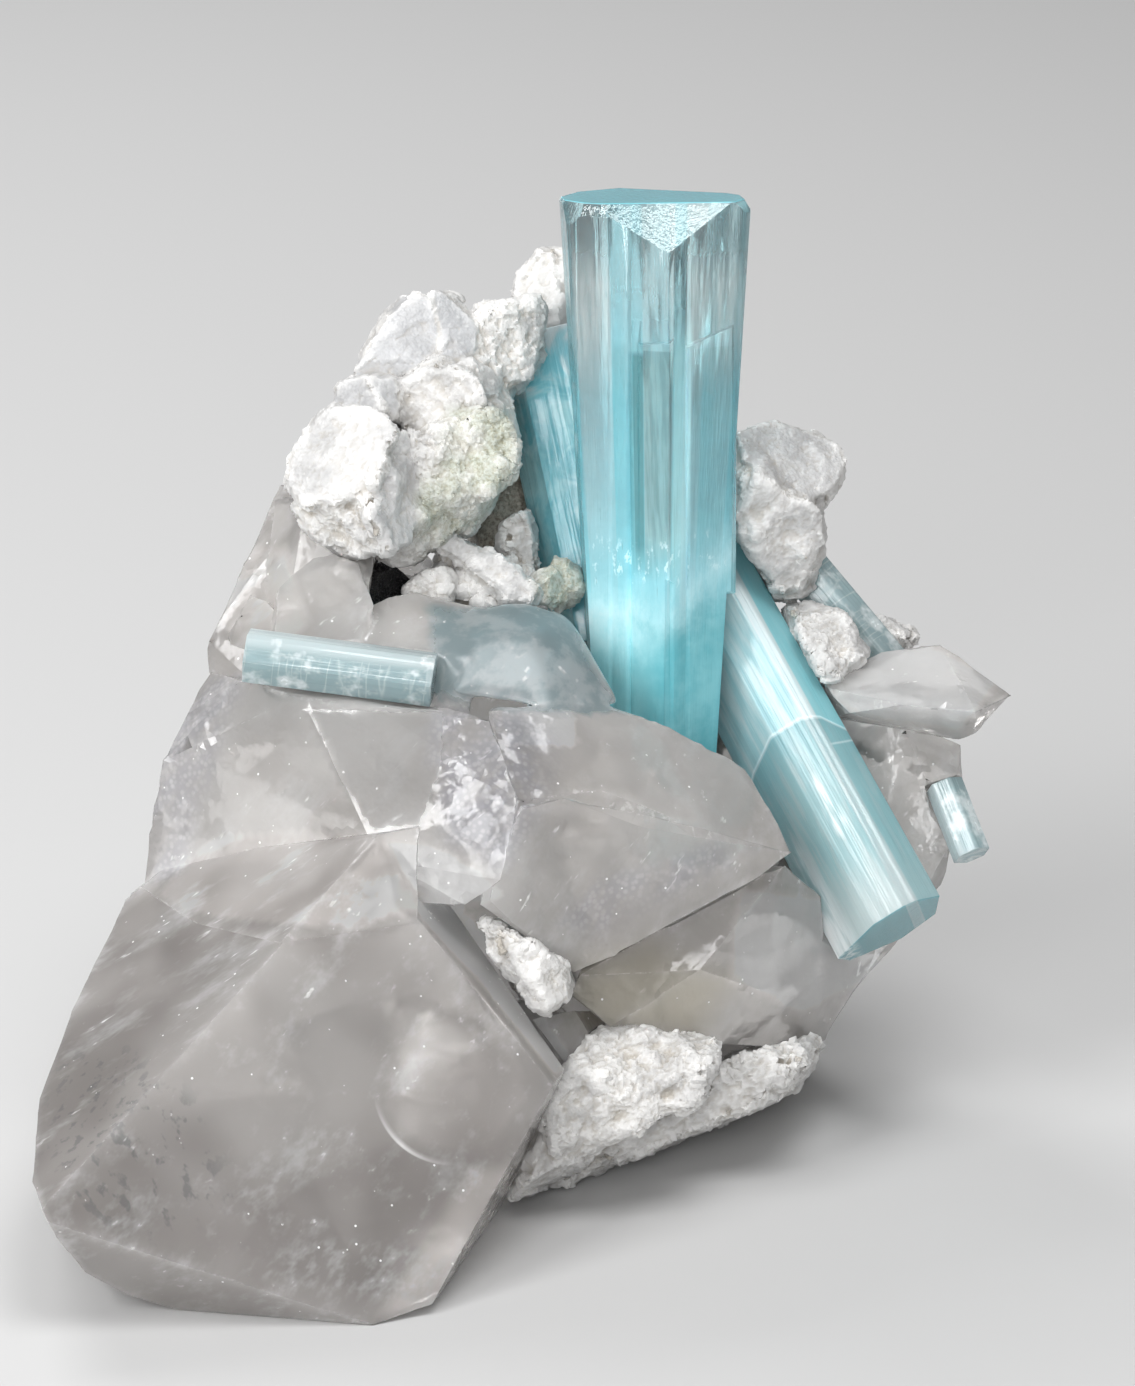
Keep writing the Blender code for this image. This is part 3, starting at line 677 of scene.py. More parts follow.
# Outlines painted lighter (above 1) or darker (below 1) than the quartz around them, with the width of
# their soft border in mm. Some are milkier or darker quartz, such as the cap; the rest are painted light
# and painted shade that make up for how the light falls on them.
TONES_AND_PAINTED_LIGHT = [
    (1.38, 0.4, CAP),
    (1.80, 0.5, [(42.1, 90.1), (46, 90.7), (49.1, 94.2), (53.4, 101.2), (56.5, 105.1), (56.5, 106.9),
        (55.6, 107.7), (48.6, 99), (42.1, 91.8)]),
    (1.12, 0.3, [(30.5, 92.6), (37.2, 84.4), (42.2, 91), (38, 92.6), (34, 93)]),
    (0.97, 1.2, [(14, 91.5), (29.5, 93.5), (13.4, 111.5), (4.5, 113), (6, 104)]),
    (0.98, 3, [(30, 94), (40, 94.5), (44.5, 101), (37.5, 109), (27, 108), (24, 101)]),
    (1.12, 0.5, [(39.5, 101), (46, 99.5), (51.5, 103.5), (52.5, 109.5), (49, 115), (42.5, 114.5),
        (38.6, 111)]),
    (0.93, 0.6, [(25.5, 121.5), (33, 117), (38.5, 114.6), (49.5, 116), (51.5, 112), (49, 121), (42, 130),
        (31, 128.5), (24, 125)]),
    # Painted light: the low part of the large point, which faces down into shade.
    (1.60, 2, [(43, 124), (47, 117), (55, 116.5), (52, 124), (46, 131), (38, 131.5)]),
    # Painted light in a crevice below the hump.
    (1.8, 0.6, [(50, 70.6), (57, 70.8), (57.5, 74.5), (51, 74.2)]),
    # Painted shade on the slab below the hump, where it catches the light from above.
    (0.66, 0.8, [(30.8, 71), (44.5, 71), (44, 77), (42, 82.6), (37, 83), (34, 78)]),
    # Painted light: the next three make blocks lighter where they lie in shade.
    (1.28, 1, [(22, 54), (28.5, 55), (31, 62.5), (26.5, 66.5), (23, 63)]),
    (1.50, 1.5, [(74, 89), (84, 90), (88, 97), (80, 101), (73, 98)]),
    (1.35, 1, [(80, 67.5), (92, 64), (100, 68), (96, 73), (86, 71.5)]),
]
STAINED = [(57, 97), (65, 94.5), (73, 98), (70, 104), (61, 103.5), (56, 100.5)]


def quartz_material():
    """Milky and partly clear, with veils, streaks, specks and chipped edges, painted glints, painted edge
    highlights, and painted light and shade in places, as its corners' numbers say.
    """
    shader = Shader(
        "quartz", IOR=1.544, Subsurface_Weight=0.8, Subsurface_Scale=0.006,
        Subsurface_Radius=(1.0, 0.96, 0.93),
    )
    ghost, tone = shader.value("ghost"), shader.value("tone")
    cloud = shader.noise(17.0, detail=2.0)
    veil = shader.noise(4.0, shader.turned((0, 0.7, 0), (1, 1, 2.6)), roughness=0.66)
    streak = shader.noise(0.9, shader.turned((0, 0.75, 0.1), (1, 1, 5)), detail=2.0)
    blot = shader.noise(1.5, shader.turned((0, -0.3, 0.1), (1, 1, 1.8)), detail=3.0)
    chip = shader.noise(0.7, detail=2.0, roughness=0.7)
    base = cloud.step(0.38, 0.64).mix((0.73, 0.70, 0.675), (0.83, 0.81, 0.79))
    smoke = cloud.step(0.38, 0.62).mix((0.50, 0.465, 0.445), (0.60, 0.57, 0.55))
    base = shader.value("smoky").mix(base, smoke)
    base = veil.step(0.50, 0.78, 0.0, 0.8).mix(base, (0.93, 0.925, 0.92))
    base = shader.value("stained").mix(base, (0.66, 0.61, 0.50))
    # Milkier and darker zones, most of them painted light and painted shade.
    base = shader.add("VectorMath", 0, (base, tone), operation="MULTIPLY")
    base = shader.add("VectorMath", 0, (base, (0.95,) * 3), operation="MINIMUM")
    glass = veil.step(0.44, 0.60).mix((0.36, 0.50, 0.54), (0.66, 0.75, 0.78))
    base = (ghost * 0.85).mix(base, glass)
    crystals = shader.cells(0.6).step(0.2, 0.62).mix((0.90, 0.90, 0.94), (0.60, 0.60, 0.67))
    base = (shader.value("cracked") * veil.step(0.35, 0.6, 0.15, 0.7)).mix(base, crystals)
    base = (shader.value("frosty") * streak.step(0.42, 0.72, 0.0, 0.7)).mix(base, (0.84, 0.84, 0.83))
    base = (shader.value("speckled") * blot.step(0.54, 0.64) * 0.6).mix(base, (0.30, 0.31, 0.31))
    bright = streak.step(0.62, 0.74) * veil.step(0.48, 0.66) * 0.75
    bright = bright.most(shader.value("edge").step(0.70, 0.95) * chip.step(0.36, 0.7, 0.05, 0.35))
    # Painted glints: small white flecks stand in for sparkle.
    bright = bright.most(shader.cells(1.3).step(0.12, 0.07) * blot.step(0.52, 0.60))
    # Whiter near crisp edges: partly chipping, partly a painted edge highlight.
    bright = bright.most(shader.value("rim") * veil.step(0.3, 0.7, 0.05, 0.28)).most(inner_arc(shader))
    dull = shader.noise(3.0, detail=1.0).step(0.35, 0.7, 0.07, 0.20)
    shader.feed(
        Base_Color=bright.mix(base, (0.97, 0.97, 0.97)),
        Transmission_Weight=cloud.step(0.30, 0.70, 0.70, 0.60) * bright.step(0, 1, 1.0, 0.4),
        Roughness=dull.most(tone.step(0.88, 0.70, 0.0, 0.55)).most(ghost * 0.3),
    )
    shader.bump((shader.noise(1.6, detail=2.0) * shader.value("broken"), 0.10))
    return shader.material


def inner_arc(shader):
    """The thin bright arc of an inner fracture that shows in the large point."""
    x, down, radius, start, end = POINT_ARC
    around = shader.turned((-DISPLAY_TILT, 0, 0), middle=seen(x, down, 20.0))
    right, high = (shader.add("SeparateXYZ", k, (around,)) for k in (0, 2))
    away = (right.math("POWER", 2.0) + high.math("POWER", 2.0)).math("POWER", 0.5)
    line = away.curve((radius - 0.5, 0), (radius - 0.08, 0.8), (radius + 0.05, 0.8), (radius + 0.2, 0))
    return line * high.math("ARCTAN2", right).curve((start, 0), ((start + end) / 2, 0.9), (end, 0))


def quartz_piece(material):
    """All the quartz: flat growth faces on the large point, and broken, stepped surfaces elsewhere."""
    shape = node_shape("quartz")
    bmesh.ops.remove_doubles(shape, verts=shape.verts[:], dist=0.15)
    bmesh.ops.dissolve_degenerate(shape, edges=shape.edges[:], dist=0.02)
    bevel_edges(shape, 0.14, segments=1)
    fill_finely(shape, QUARTZ_SPACING)
    shape.normal_update()
    x, down, depth = display_places(corners_of(shape)[0])

    def within(outline, soft):
        return inside_outline(x, down, outline, soft)

    on_hump = within(HUMP, 0.5) * smooth_step(-12, -9, depth) > 0.5
    smooth_down(shape, [vert for vert, chosen in zip(shape.verts, on_hump) if chosen], 14)
    shape.normal_update()
    places, normals = corners_of(shape)
    smooth = within(POINT_OUTLINE, 1.2) * smooth_step(-12, -8, depth)
    smooth = np.maximum(smooth, within(HUMP, 2.0) * smooth_step(-14, -9, depth))
    broad = crystal_facets(places / 7.0, 3, 0.03, 0.06) * 7.0 - 0.15
    small = crystal_facets(places / 2.4, 4, 0.03, 0.035) * 2.4 - 0.03
    broken = broad + small * smooth_step(-0.2, 0.3, soft_noise(places / 9.0, 6))
    broken += rough_noise(places / 2.0, 5) * 0.08
    calm = rough_noise(places / 7.0, 9) * 0.04
    height = (broken * (1 - smooth) + calm * smooth) * off_foot(places)
    front = smooth_step(-4.0, 0.0, depth)
    cracked = [within(CRACKED, 3.0), 0.75 * within(RAGGED, 2.5), 0.75 * within(FRINGE, 2.5)]
    cracked = np.maximum.reduce(cracked) * front
    height += cracked * (rough_noise(places / 1.6, 12) * 0.28 - 0.1)
    left = smooth_step(22.0, 10.0, x + (down - 110.0) * 0.45)
    toward = smooth_step(-0.1, 0.1, normals @ np.array(TOWARDS_EYE)) * smooth_step(-14.0, -9.0, depth)
    # Milkier and darker zones, most of them painted light and painted shade, only on faces that face the
    # eye.
    tone = np.ones(len(x))
    for factor, soft, outline in TONES_AND_PAINTED_LIGHT:
        tone *= 1 + (factor - 1) * within(outline, soft) * toward
    edges = edge_values(shape)
    set_corner_values(
        shape, tone=tone, cracked=cracked, broken=1 - smooth, edge=edges,
        smoky=within(POINT_OUTLINE, 1.0) * smooth_step(-16, -10, depth) * (0.8 + 0.35 * left),
        rim=nearness(places, places[edges > 0.5], 0.7),
        ghost=within(GHOST, 1.0) * front,
        frosty=np.maximum.reduce([within(outline, 1.5) for outline in FROSTY]) * front,
        speckled=within(SPECKLED, 4.0) * front,
        stained=within(STAINED, 5.0) * front,
    )
    move_corners(shape, places + normals * height[:, None])
    new_piece("quartz_matrix", shape, material, ["quartz"], sharp=16)


def nearness(places, marks, reach):
    """1 at the marks, and less and less away from them."""
    tree = KDTree(len(marks))
    for k, mark in enumerate(marks):
        tree.insert(mark, k)
    tree.balance()
    return np.array([math.exp(-tree.find(place)[2] / reach) for place in places])


def edge_values(shape):
    """1 at corners on an edge where faces meet at more than 14 degrees, and 0 elsewhere."""
    limit = math.radians(14.0)
    shape.verts.index_update()
    values = np.zeros(len(shape.verts))
    for edge in shape.edges:
        if edge.is_manifold and edge.calc_face_angle() > limit:
            for vert in edge.verts:
                values[vert.index] = 1.0
    return values


# ---- aquamarines ----

WATER_WHITE = (0.93, 0.97, 0.97)
END_FACE = (-0.12, -0.05)  # mm along from the tip between which a prism's end face begins
MAIN_TAPER = math.tan(math.radians(3.3)) / 9.25  # share of its width that the main crystal loses in each mm

# Bands painted on the main crystal, standing in for the streaks that refraction through its back faces
# shows: mm to the side at the tip, and how blue.
MAIN_REFRACTION_BANDS = [
    (-9.6, 0.9), (-8.7, 0.7), (-8.4, 0.05), (-4.95, 0.12), (-4.75, 0.9), (-3.5, 0.85), (-3.3, 0.65),
    (-2.6, 0.65), (-2.5, 1), (-1.45, 0.9), (-1.35, 0.3), (1.4, 0.35), (1.5, 0), (1.9, 0), (2, 0.8),
    (3.1, 0.75), (3.2, 0.05), (5.1, 0.1), (5.3, 0.45), (8.6, 0.4), (8.8, 0.8), (9.6, 0.6),
]


def beryl_shader(name, density, roughness=0.03, **plain):
    """Clear beryl with fine lines along it, bluer the denser it is. Returns the shader, whose places are the
    prism's own, and the place to the side and along."""
    shader = Shader(
        name, IOR=1.577, Roughness=roughness, Subsurface_Weight=0.6, Subsurface_Scale=0.003,
        Subsurface_Radius=(0.7, 1.0, 1.0), **plain,
    )
    volume = shader.add("VolumeAbsorption", Color=(0.06, 0.88, 0.97), Density=density)
    shader.give(shader.tree.nodes["Material Output"].inputs["Volume"], volume)
    shader.place = Axis(name).coordinates(shader)
    side, along = (shader.add("SeparateXYZ", k, (shader.place,)) for k in (0, 2))
    shader.fibres = shader.noise(0.5, shader.stretch(1, 1, 0.03), detail=2.0)
    lines = shader.noise(0.16, shader.stretch(1, 1, 0.012), detail=0.0)
    shader.bump((shader.fibres, 0.07), (lines, 0.025))
    return shader, side, along


def main_material():
    """Nearly clear at the top, with painted bands of refraction and a painted lighter band, a bright veil,
    and a white wave above deep, cloudy blue that is painted lighter on one side.
    """
    shader, side, along = beryl_shader("aquamarine_main", 20.0)
    side = side.math("DIVIDE", along.math("MULTIPLY_ADD", MAIN_TAPER, 1.0))
    wave = shader.noise(4.5, roughness=0.6)
    mottle = shader.noise(0.9, shader.stretch(1, 1, 0.5), detail=3.0, roughness=0.7)
    needles = shader.noise(0.28, shader.stretch(1, 1, 0.07)).step(0.68, 0.73)
    depth = along + wave.step(0.25, 0.75, -1.6, 1.6)
    gradual = along.curve((-60, 1), (-36, 0.8), (-30, 0.65), (-20, 0.5), (-12, 0.2), (-8, 0.05), (0, 0))
    # Painted refraction: bands across the side stand in for the back faces seen through the crystal.
    blue = (side.curve(*MAIN_REFRACTION_BANDS) * 0.6 + gradual).clamped().mix(WATER_WHITE, (0.36, 0.86, 0.97))
    frost = along.curve((-19, 0), (-13, 0.6), (-8, 0.7), (-4, 0))
    frost *= side.curve((-9, 0), (-8.3, 1), (-5, 1), (-4.6, 0), (3.1, 0), (3.6, 1), (9, 0.8))
    frost *= shader.fibres.step(0.25, 0.75, 0.4, 1.0)
    blue = frost.mix(blue, (0.90, 0.92, 0.90))
    blue = (needles * 0.5).mix(blue, (0.20, 0.40, 0.44))
    panel = along.curve((-38, 0), (-33, 0.9), (-16, 1), (-14.4, 0.8), (-14.3, 0))
    panel *= side.curve(
        (-1.4, 0), (-1.3, 1), (1.7, 1), (1.9, 0), (4.3, 0), (4.5, 0.3), (8.4, 0.3), (8.6, 0)
    )
    streaked = shader.fibres.step(0.35, 0.65).mix((0.24, 0.38, 0.38), (0.42, 0.62, 0.62))
    blue = (panel * 0.85).mix(blue, streaked)
    # Painted light: a lighter band where the faces beside a groove take little light.
    between = along.curve((-40, 0), (-33, 1), (-15, 0.9), (-10, 0))
    between *= side.curve((1.8, 0), (2.1, 1), (3.9, 1), (4.2, 0))
    blue = (between * 0.75).mix(blue, (0.60, 0.97, 1.0))
    strip = along.curve((-37, 0), (-34, 1), (-15, 1), (-14.4, 0))
    strip *= side.curve((-3.1, 0), (-2.95, 0.5), (-2.6, 0.5), (-2.5, 1), (-1.5, 1), (-1.3, 0))
    blue = (strip * 0.85).mix(blue, (0.10, 0.34, 0.37))
    cap = along.step(*END_FACE)
    blue = cap.mix(blue, (0.25, 0.72, 0.83))
    # Painted light: the deep blue is lighter on one side, which takes less light.
    deep = side.step(-7.0, 4.0).mix((0.30, 0.74, 0.81), (0.13, 0.52, 0.60))
    deep = wave.step(0.35, 0.7, 0.0, 0.5).mix(deep, (0.36, 0.82, 0.88))
    colour = depth.step(-36.5, -43.0).mix(blue, deep)
    crest = along + side.curve((-9, 42.4), (-3, 42), (1, 41.5), (5, 39.5), (9, 36.5))
    crest += wave.step(0.3, 0.7, -0.9, 0.9)
    foam = crest.curve((-5, 0), (-1.2, 0.6), (0.4, 0.8), (2.4, 0.4), (5.5, 0))
    foam *= side.curve((-9, 1), (-4, 0.95), (0, 0.55), (4, 0.6), (9, 0.7))
    foam *= mottle.step(0.25, 0.65, 0.55, 1.0)
    glints = depth.curve((-39, 0), (-37, 0.8), (-35, 0.8), (-33.5, 0)) * mottle.step(0.56, 0.66)
    white = foam.most(glints)
    clear = depth.curve(
        (-60, 0.05), (-46, 0.08), (-41, 0.15), (-36, 0.35), (-30, 0.55), (-20, 0.72), (-8, 0.88), (0, 0.9)
    )
    clear = (clear - frost * 0.30 - cap * 0.6 - between * 0.3).clamped()
    shader.feed(
        Base_Color=(white * 0.65).mix(colour, (0.84, 0.96, 0.97)),
        Transmission_Weight=(clear - white * 0.3).clamped(),
    )
    return shader.material


def leaning_material():
    """Pale and veined above a curved inner crack, clearer and bluer below it, with one face painted darker
    teal as shade and a painted highlight along one edge.
    """
    shader, side, along = beryl_shader("aquamarine_leaning", 14.0, 0.12, Specular_IOR_Level=0.25)
    veins = shader.noise(1.1, shader.stretch(1, 1, 0.13), detail=3.0)
    crack = along + side.curve((-6, 19.5), (-4, 21.6), (-2, 22.2), (1.5, 22.2), (4.5, 20.8), (6, 19.5))
    above = crack.step(0.15, -0.15)
    # Painted shade: one face of the prism is painted darker teal than the others.
    right = side.step(-3.4, -3.9)
    pale = veins.step(0.40, 0.62).mix((0.48, 0.80, 0.86), (0.70, 0.92, 0.95))
    pale = (right * 0.8).mix(pale, (0.30, 0.76, 0.84))
    low = veins.step(0.45, 0.65).mix((0.60, 0.90, 0.94), (0.80, 0.97, 0.98))
    low = along.step(-9.0, -1.0).mix(low, (0.84, 0.97, 0.98))
    low = crack.curve((0, 0.75), (4, 0.3), (8, 0)).mix(low, (0.34, 0.72, 0.80))
    low = (right * 0.5).mix(low, (0.36, 0.76, 0.83))
    low = along.step(*END_FACE).mix(low, (0.24, 0.58, 0.65))
    line = crack.curve((-0.3, 0), (-0.05, 0.5), (0.12, 0.4), (0.3, 0))
    second = (along + 18.5).curve((-0.2, 0), (0, 0.5), (0.2, 0)) * right
    flaw = along.curve((-17, 0), (-15, 0.9), (-11, 0.9), (-9, 0))
    flaw *= side.curve((-1.6, 0), (-0.8, 1), (-0.2, 1), (0.6, 0)) * veins.step(0.42, 0.58)
    fringe = side.curve((3.2, 0), (4.4, 0.7), (7, 0.9)) * along.curve((-15, 0), (-11, 1), (0, 1))
    white = line.most(second).most(flaw).most(fringe * veins.step(0.38, 0.60, 0.2, 1.0))
    # Painted highlight: a pale strip along the edge between two faces, standing in for a reflected softbox.
    strip = side.curve((-3.75, 0), (-3.6, 1), (-3.4, 0.75), (-2.6, 0.75), (-2.45, 1), (-2.3, 0))
    strip *= above.step(0, 1, 0.55, 0.85)
    colour = strip.mix(above.mix(low, pale), (0.86, 0.96, 0.98))
    shader.feed(
        Base_Color=white.mix(colour, (0.95, 0.99, 1.0)),
        Transmission_Weight=(above.step(0, 1, 0.5, 0.3) - white * 0.4).clamped(),
    )
    return shader.material


def behind_material():
    """Cloudy saturated blue, white towards its tip."""
    shader, _, along = beryl_shader("aquamarine_behind", 20.0)
    cloud = shader.noise(4.0, detail=3.0, distortion=1.0)
    blue = cloud.step(0.35, 0.68).mix((0.30, 0.84, 0.97), (0.52, 0.93, 0.99))
    height = along + cloud.step(0.3, 0.7, -3.0, 3.0)
    shader.feed(
        Base_Color=height.step(-6.0, -1.0).mix(blue, (0.84, 0.92, 0.95)),
        Transmission_Weight=cloud.step(0.3, 0.7, 0.35, 0.12),
    )
    return shader.material


def pale_material(name):
    """A small pale prism, with white breaks across it, and whiter towards one side."""
    shader, side, _ = beryl_shader(name, 8.0)
    veins = shader.noise(2.6, detail=3.0, roughness=0.6)
    across = shader.noise(1.3, shader.stretch(0.12, 0.12, 1), detail=1.0)
    cut = across.curve((0.40, 0), (0.445, 1), (0.455, 1), (0.50, 0))
    # Besides the breaks, whiter towards one side of the prism.
    breaks = (veins.step(0.46, 0.70) * 0.8).most(cut * 0.35).most(side.step(0.2, 1.4, 0.0, 0.5))
    shader.feed(
        Base_Color=breaks.mix((0.46, 0.62, 0.65), (0.82, 0.87, 0.88)),
        Roughness=breaks.step(0, 1, 0.06, 0.30),
        Transmission_Weight=breaks.step(0, 1, 0.45, 0.15),
    )
    return shader.material


def prism_piece(name, material, grooves=0.05, seed=1, cuts=()):
    """A prism with lines along its sides. cuts are deeper grooves in its front, given as MAIN_CUTS is."""
    axis = Axis(name)
    shape = node_shape(name)
    bevel_edges(shape, 0.12)
    evenly = [k * 0.55 + 0.2 for k in range(-20, 20)]
    slice_shape(shape, axis.tip, axis.side, evenly)
    slice_shape(shape, axis.tip, axis.front, evenly)
    for middle, half, _ in cuts:
        slice_shape(shape, axis.tip, axis.side, [middle - half, middle, middle + half])
    shape.normal_update()
    places, normals = corners_of(shape)
    local = axis.local(places)
    turn = np.arctan2(local[:, 1], local[:, 0])
    ring = np.stack([turn * 14.0, turn * 0, turn * 0], axis=1)
    ridge = (soft_noise(ring, seed) + 0.6 * soft_noise(ring * 2.7, seed + 1)) * grooves
    for middle, half, depth in cuts:
        ridge -= np.clip(1 - np.abs(local[:, 0] - middle) / half, 0, 1) * depth * (local[:, 1] > 0)
    flat = 1 - smooth_step(0.15, 0.35, np.abs(normals @ np.array(axis.along)))
    move_corners(shape, places + normals * (ridge * flat)[:, None])
    new_piece(name + "_prism", shape, material, [name], sharp=20)


def slice_shape(shape, middle, direction, distances):
    """Cuts faces along planes across direction, without taking anything away."""
    for distance in distances:
        bmesh.ops.bisect_plane(
            shape, geom=shape.verts[:] + shape.edges[:] + shape.faces[:],
            plane_co=middle + direction * distance, plane_no=direction, dist=0.002,
        )


# ---- schorl ----


def schorl_material():
    """Black, with fine lines along it."""
    shader = Shader("schorl", IOR=1.65, Roughness=0.2, Base_Color=(0.012, 0.012, 0.013))
    shader.place = Axis("schorl").coordinates(shader)
    lines = shader.noise(0.25, shader.stretch(1, 1, 0.02), detail=3.0)
    shader.feed(
        Base_Color=lines.step(0.4, 0.7).mix((0.008, 0.008, 0.009), (0.03, 0.03, 0.032)),
        Roughness=lines.step(0.3, 0.7, 0.12, 0.35),
    )
    shader.bump((lines, 0.12))
    return shader.material


# ---- the setting ----


def make_camera():
    camera = bpy.data.cameras.new("camera")
    camera.lens = camera.sensor_width * EYE_DISTANCE / FIELD_SIZE[1]
    camera.clip_start, camera.clip_end = 0.01, 10.0
    obj = placed("camera", camera)
    obj.location = (MIDDLE + TOWARDS_EYE * EYE_DISTANCE) * MM
    obj.rotation_euler = (-TOWARDS_EYE).to_track_quat("-Z", "Y").to_euler()
    bpy.context.scene.camera = obj


def make_floor():
    shape = bmesh.new()
    bmesh.ops.create_grid(shape, x_segments=2, y_segments=2, size=3000.0)
    mesh = bpy.data.meshes.new("floor")
    shape.to_mesh(mesh)
    shape.free()
    mesh.transform(Matrix.Scale(MM, 4) @ Matrix.Translation((0, 0, -0.1)))
    mesh.materials.append(Shader("floor", Roughness=0.7, Base_Color=(0.615,) * 3).material)
    floor = placed("floor", mesh)


def make_light(name, azimuth, elevation, distance, size, power):
    """A square softbox aimed at the specimen, behind the eye at azimuth 0 and on the left at azimuth 90."""
    light = bpy.data.lights.new(name, "AREA")
    light.shape = "SQUARE"
    light.size, light.energy = size, power
    turn, rise = math.radians(azimuth), math.radians(elevation)
    away = Vector((-math.sin(turn) * math.cos(rise), -math.cos(turn) * math.cos(rise), math.sin(rise)))
    obj = placed(name, light)
    obj.location = MIDDLE * MM + away * distance
    obj.rotation_euler = (-away).to_track_quat("-Z", "Y").to_euler()


def make_setting():
    make_camera()
    make_floor()
    make_light("key", 150, 42, 0.7, 0.30, 1.9)
    make_light("top", -32, 70, 0.6, 0.28, 1.7)
    make_light("left", 50, 38, 0.8, 0.34, 3.4)
    make_light("front", 14, 18, 1.0, 0.5, 4.2)
    world = bpy.data.worlds.new("studio")
    world.use_nodes = True
    background = world.node_tree.nodes["Background"].inputs
    background["Color"].default_value = (0.5, 0.5, 0.5, 1.0)
    background["Strength"].default_value = 0.42
    scene = bpy.context.scene
    scene.world = world
    scene.view_settings.view_transform = "Standard"
    scene.cycles.max_bounces = scene.cycles.transmission_bounces = 4
    scene.cycles.diffuse_bounces = scene.cycles.glossy_bounces = 2
    scene.cycles.caustics_reflective = False


# Where the albite is stained green.
CROWN_STAIN = [(45, 41), (51.5, 41), (51.5, 47), (49, 52), (42, 55.5), (41.5, 50), (44, 45)]
CRUST_STAIN = [(54.8, 55.5), (57.6, 55), (58, 58.5), (56.6, 61.5), (54.6, 61), (53.5, 58)]
# Where the hollow below the crown is painted dark brown as shade, and the corners of the wall at its back.
HOLLOW_PAINTED_SHADE = [(47.5, 46), (53.4, 46), (53.4, 58), (47.5, 58)]
HOLLOW_WALL = [
    (47.5, 46, -11), (53.4, 46, -13), (54.5, 58, -13), (47.5, 59, -10), (47.5, 46, -14), (53.4, 46, -15),
    (54.5, 58, -15), (47.5, 59, -14),
]
# Grooves in the main crystal's front: mm to the side, half width, depth.
MAIN_CUTS = [(-2.55, 0.22, 0.35), (-8, 0.25, 0.2), (1.55, 0.2, 0.25), (3.2, 0.25, 0.2), (-4.4, 0.2, 0.15)]

# Slabs of albite: how sugary, mm in front of the surface, and the outline in the display field.
CROWN_PLATES = [
    (0.05, 0, [(51.1, 29.7), (52.5, 26.8), (54, 25.3), (55.2, 24.6), (56.1, 25.3), (56.2, 31.2),
        (54.3, 30.9), (53.8, 29.6)]),
    (0.05, 0.3, [(35.3, 37.9), (35.8, 36.2), (36.9, 34.5), (38.4, 32), (40.7, 29.6), (42.2, 29.3),
        (43.1, 30.2), (43.9, 33), (43.8, 35.6), (42, 36.7), (39.9, 37.6), (37.9, 37.6)]),
    (0.1, 0.6, [(43, 29.2), (44, 28.9), (45.6, 30.1), (47.1, 31.6), (48, 33.3), (47.7, 35), (45.6, 36.2),
        (44, 35.7), (44, 33), (43.3, 30.7)]),
    (0.7, 0.3, [(47.6, 31.6), (50.7, 30), (53.8, 29.6), (54.6, 30.7), (54.4, 33.5), (53.3, 36.3),
        (52.5, 38.4), (51.5, 39.1), (50.2, 36.8), (48.1, 35.3)]),
    (0.2, 0.4, [(33.5, 40.9), (33.8, 39.4), (34.5, 38.1), (36.4, 37.7), (36.6, 38.4), (38.1, 39.9),
        (38.4, 41.2), (35.1, 40.9)]),
    (0.1, 0.8, [(36.6, 37.9), (39.4, 37.7), (39.9, 39.9), (39.7, 42), (38.4, 40.9), (37.9, 39.9)]),
    (0.5, 0.3, [(39.9, 39.9), (40.2, 38.1), (43, 36.4), (45.6, 36.4), (48.1, 37.9), (48.7, 40.2), (46.1, 42),
        (43.5, 42.7), (40.7, 42.7), (40.2, 41.5)]),
    (0.4, 0.2, [(28.4, 48.1), (29.2, 46.1), (30.7, 43.5), (32.7, 41), (35.8, 40.7), (37.9, 41.3),
        (39.9, 42.9), (38, 47), (34, 50.5), (30.5, 50.5)]),
    (0.3, 0.4, [(38, 47), (39.9, 42.9), (41.2, 44.3), (42, 46.5), (42.5, 50.7), (41.2, 53.8), (39, 55.2),
        (36.6, 52)]),
    (0.9, 0.2, [(28.9, 50), (30.5, 50.5), (34, 50.5), (38, 47), (36.6, 52), (38.8, 55), (36, 55.8),
        (33, 54.6), (30.7, 53.2)]),
    (1, 0.2, [(41.2, 43.8), (46.1, 42), (48.6, 41), (51.2, 42.2), (51.7, 45), (51.2, 47.6), (48.7, 49.6),
        (45.5, 49), (42.8, 50.5)]),
    (0.9, 0.2, [(42.6, 51), (45.5, 49), (48.7, 49.6), (47.1, 53.2), (43.5, 53.7), (42, 55.8), (40, 56.3)]),
]
NEST_PLATES = [
    (0.4, 1.2, [(43.5, 53.3), (45.1, 53), (51.7, 56.8), (53.8, 58.9), (53.3, 60.4), (50.7, 60.2),
        (45.6, 55.8), (43.5, 54.8)]),
    (0.8, 1, [(40.2, 59.1), (41.8, 57.6), (44.5, 57.1), (45.2, 58.2), (44.7, 60.3), (41.8, 60.3)]),
]
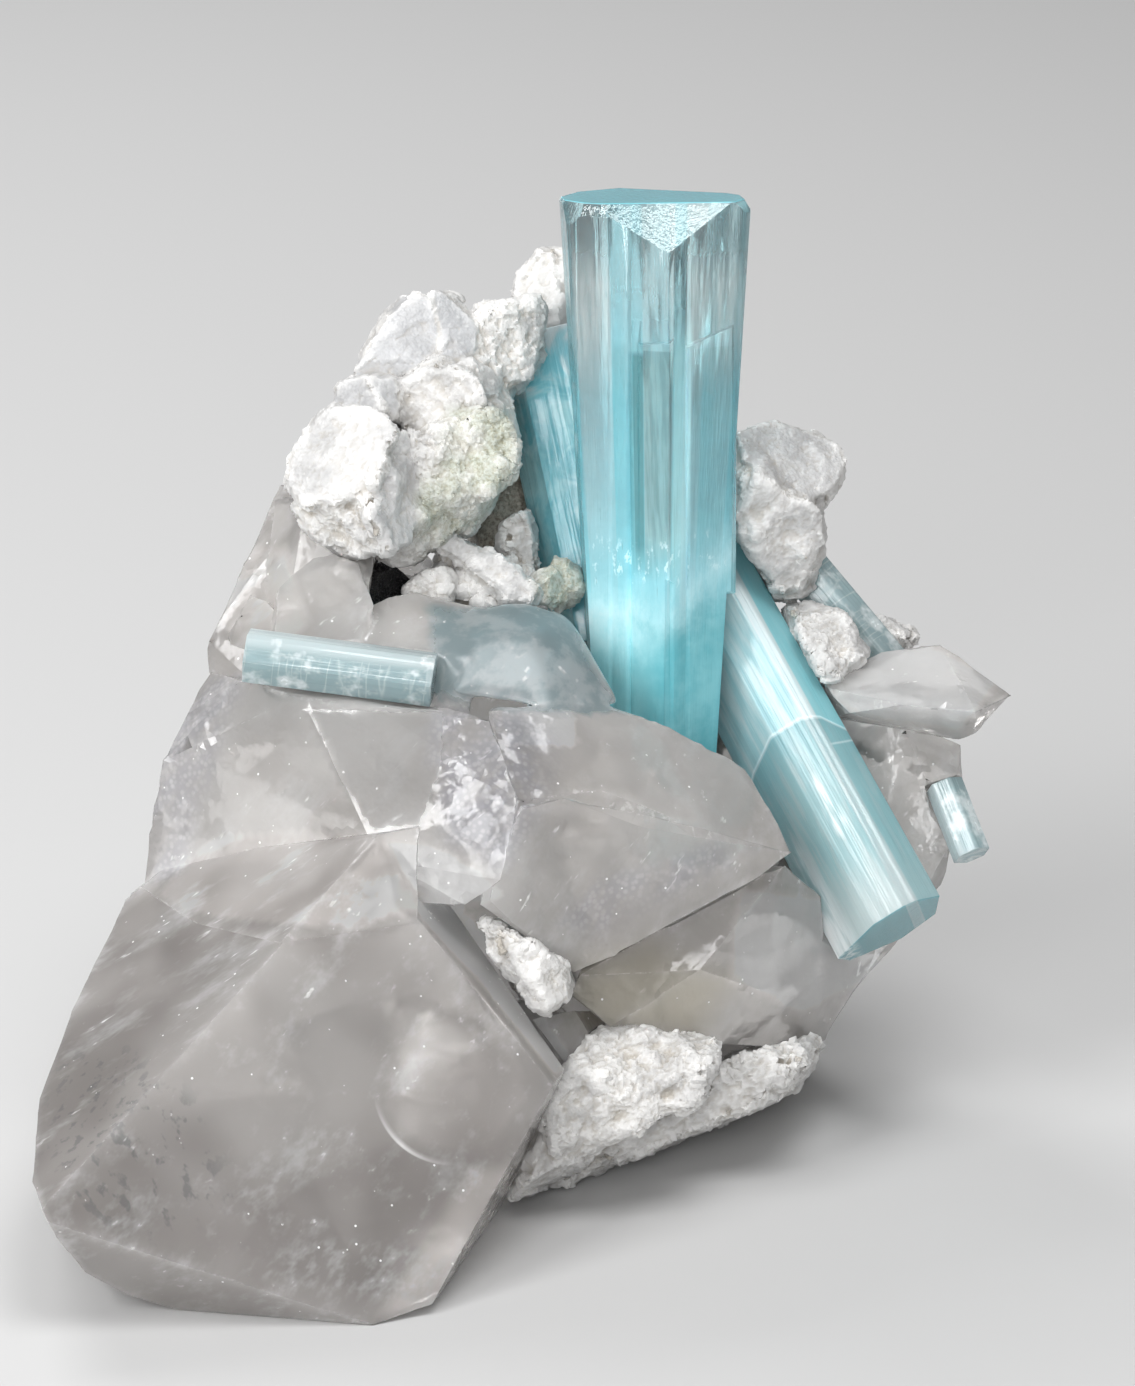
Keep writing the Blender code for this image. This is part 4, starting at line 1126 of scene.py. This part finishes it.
SHOULDER_PLATES = [
    (0.3, 0.3, [(73.5, 43.2), (75.5, 42.5), (77.5, 42.8), (80.2, 43.2), (83, 44), (84.2, 46), (84, 48),
        (82.5, 49.5), (81, 50), (78, 49), (75.5, 47), (74, 46)]),
    (0.4, 0.3, [(75.5, 47), (78, 49), (81, 50), (82.5, 51.5), (82.2, 55.5), (80.2, 57), (77.5, 57.5),
        (75.5, 56.5), (74, 54), (73.5, 51.5)]),
]
TERRACE_PLATES = [
    (0.6, 0.3, [(79.5, 62), (81.5, 61), (84, 60.8), (85.5, 63.5), (84, 67.5), (82, 67), (80.2, 64)]),
    (0.4, 0.2, [(84, 60.8), (86.5, 62), (89, 62.5), (91.5, 63.6), (88.5, 65), (85.5, 66.2)]),
]
FOOT_PLATES = [
    (0.9, 0.5, [(58.9, 103.6), (60.9, 102.7), (65.5, 103), (71.3, 103.7), (72, 104.7), (71, 107), (68, 108),
        (63.5, 107), (59.5, 108.5), (56.3, 107.6), (58, 104.7)]),
    (0.8, 0.8, [(56.3, 107.6), (59.5, 108.5), (63.5, 107), (68, 108), (71, 107), (70.4, 109.3), (68.4, 111),
        (65.5, 111.6), (63.5, 113.3), (60.9, 113.9), (57.5, 114.5), (55.2, 116.2), (54.3, 111.6)]),
]


def make_object():
    albite = albite_material()
    albite_piece("albite_crown", 0.26, albite, 1, CROWN_PLATES, CROWN_STAIN)
    albite_piece("albite_shoulder", 0.24, albite, 2, SHOULDER_PLATES)
    albite_piece("albite_terrace", 0.22, albite, 3, TERRACE_PLATES)
    albite_piece("albite_foot", 0.26, albite, 4, FOOT_PLATES)
    albite_piece("albite_wedge", 0.22, albite, 5)
    albite_piece("albite_nest", 0.22, albite, 6, NEST_PLATES, CRUST_STAIN, HOLLOW_PAINTED_SHADE, HOLLOW_WALL)
    quartz_piece(quartz_material())
    prism_piece("aquamarine_main", main_material(), cuts=MAIN_CUTS)
    prism_piece("aquamarine_leaning", leaning_material(), seed=3, grooves=0.03)
    prism_piece("aquamarine_behind", behind_material(), seed=5)
    for name in ("aquamarine_lying", "aquamarine_hidden", "aquamarine_sprig"):
        prism_piece(name, pale_material(name), seed=7)
    prism_piece("schorl", schorl_material(), seed=9)


def main():
    make_setting()
    make_object()


main()
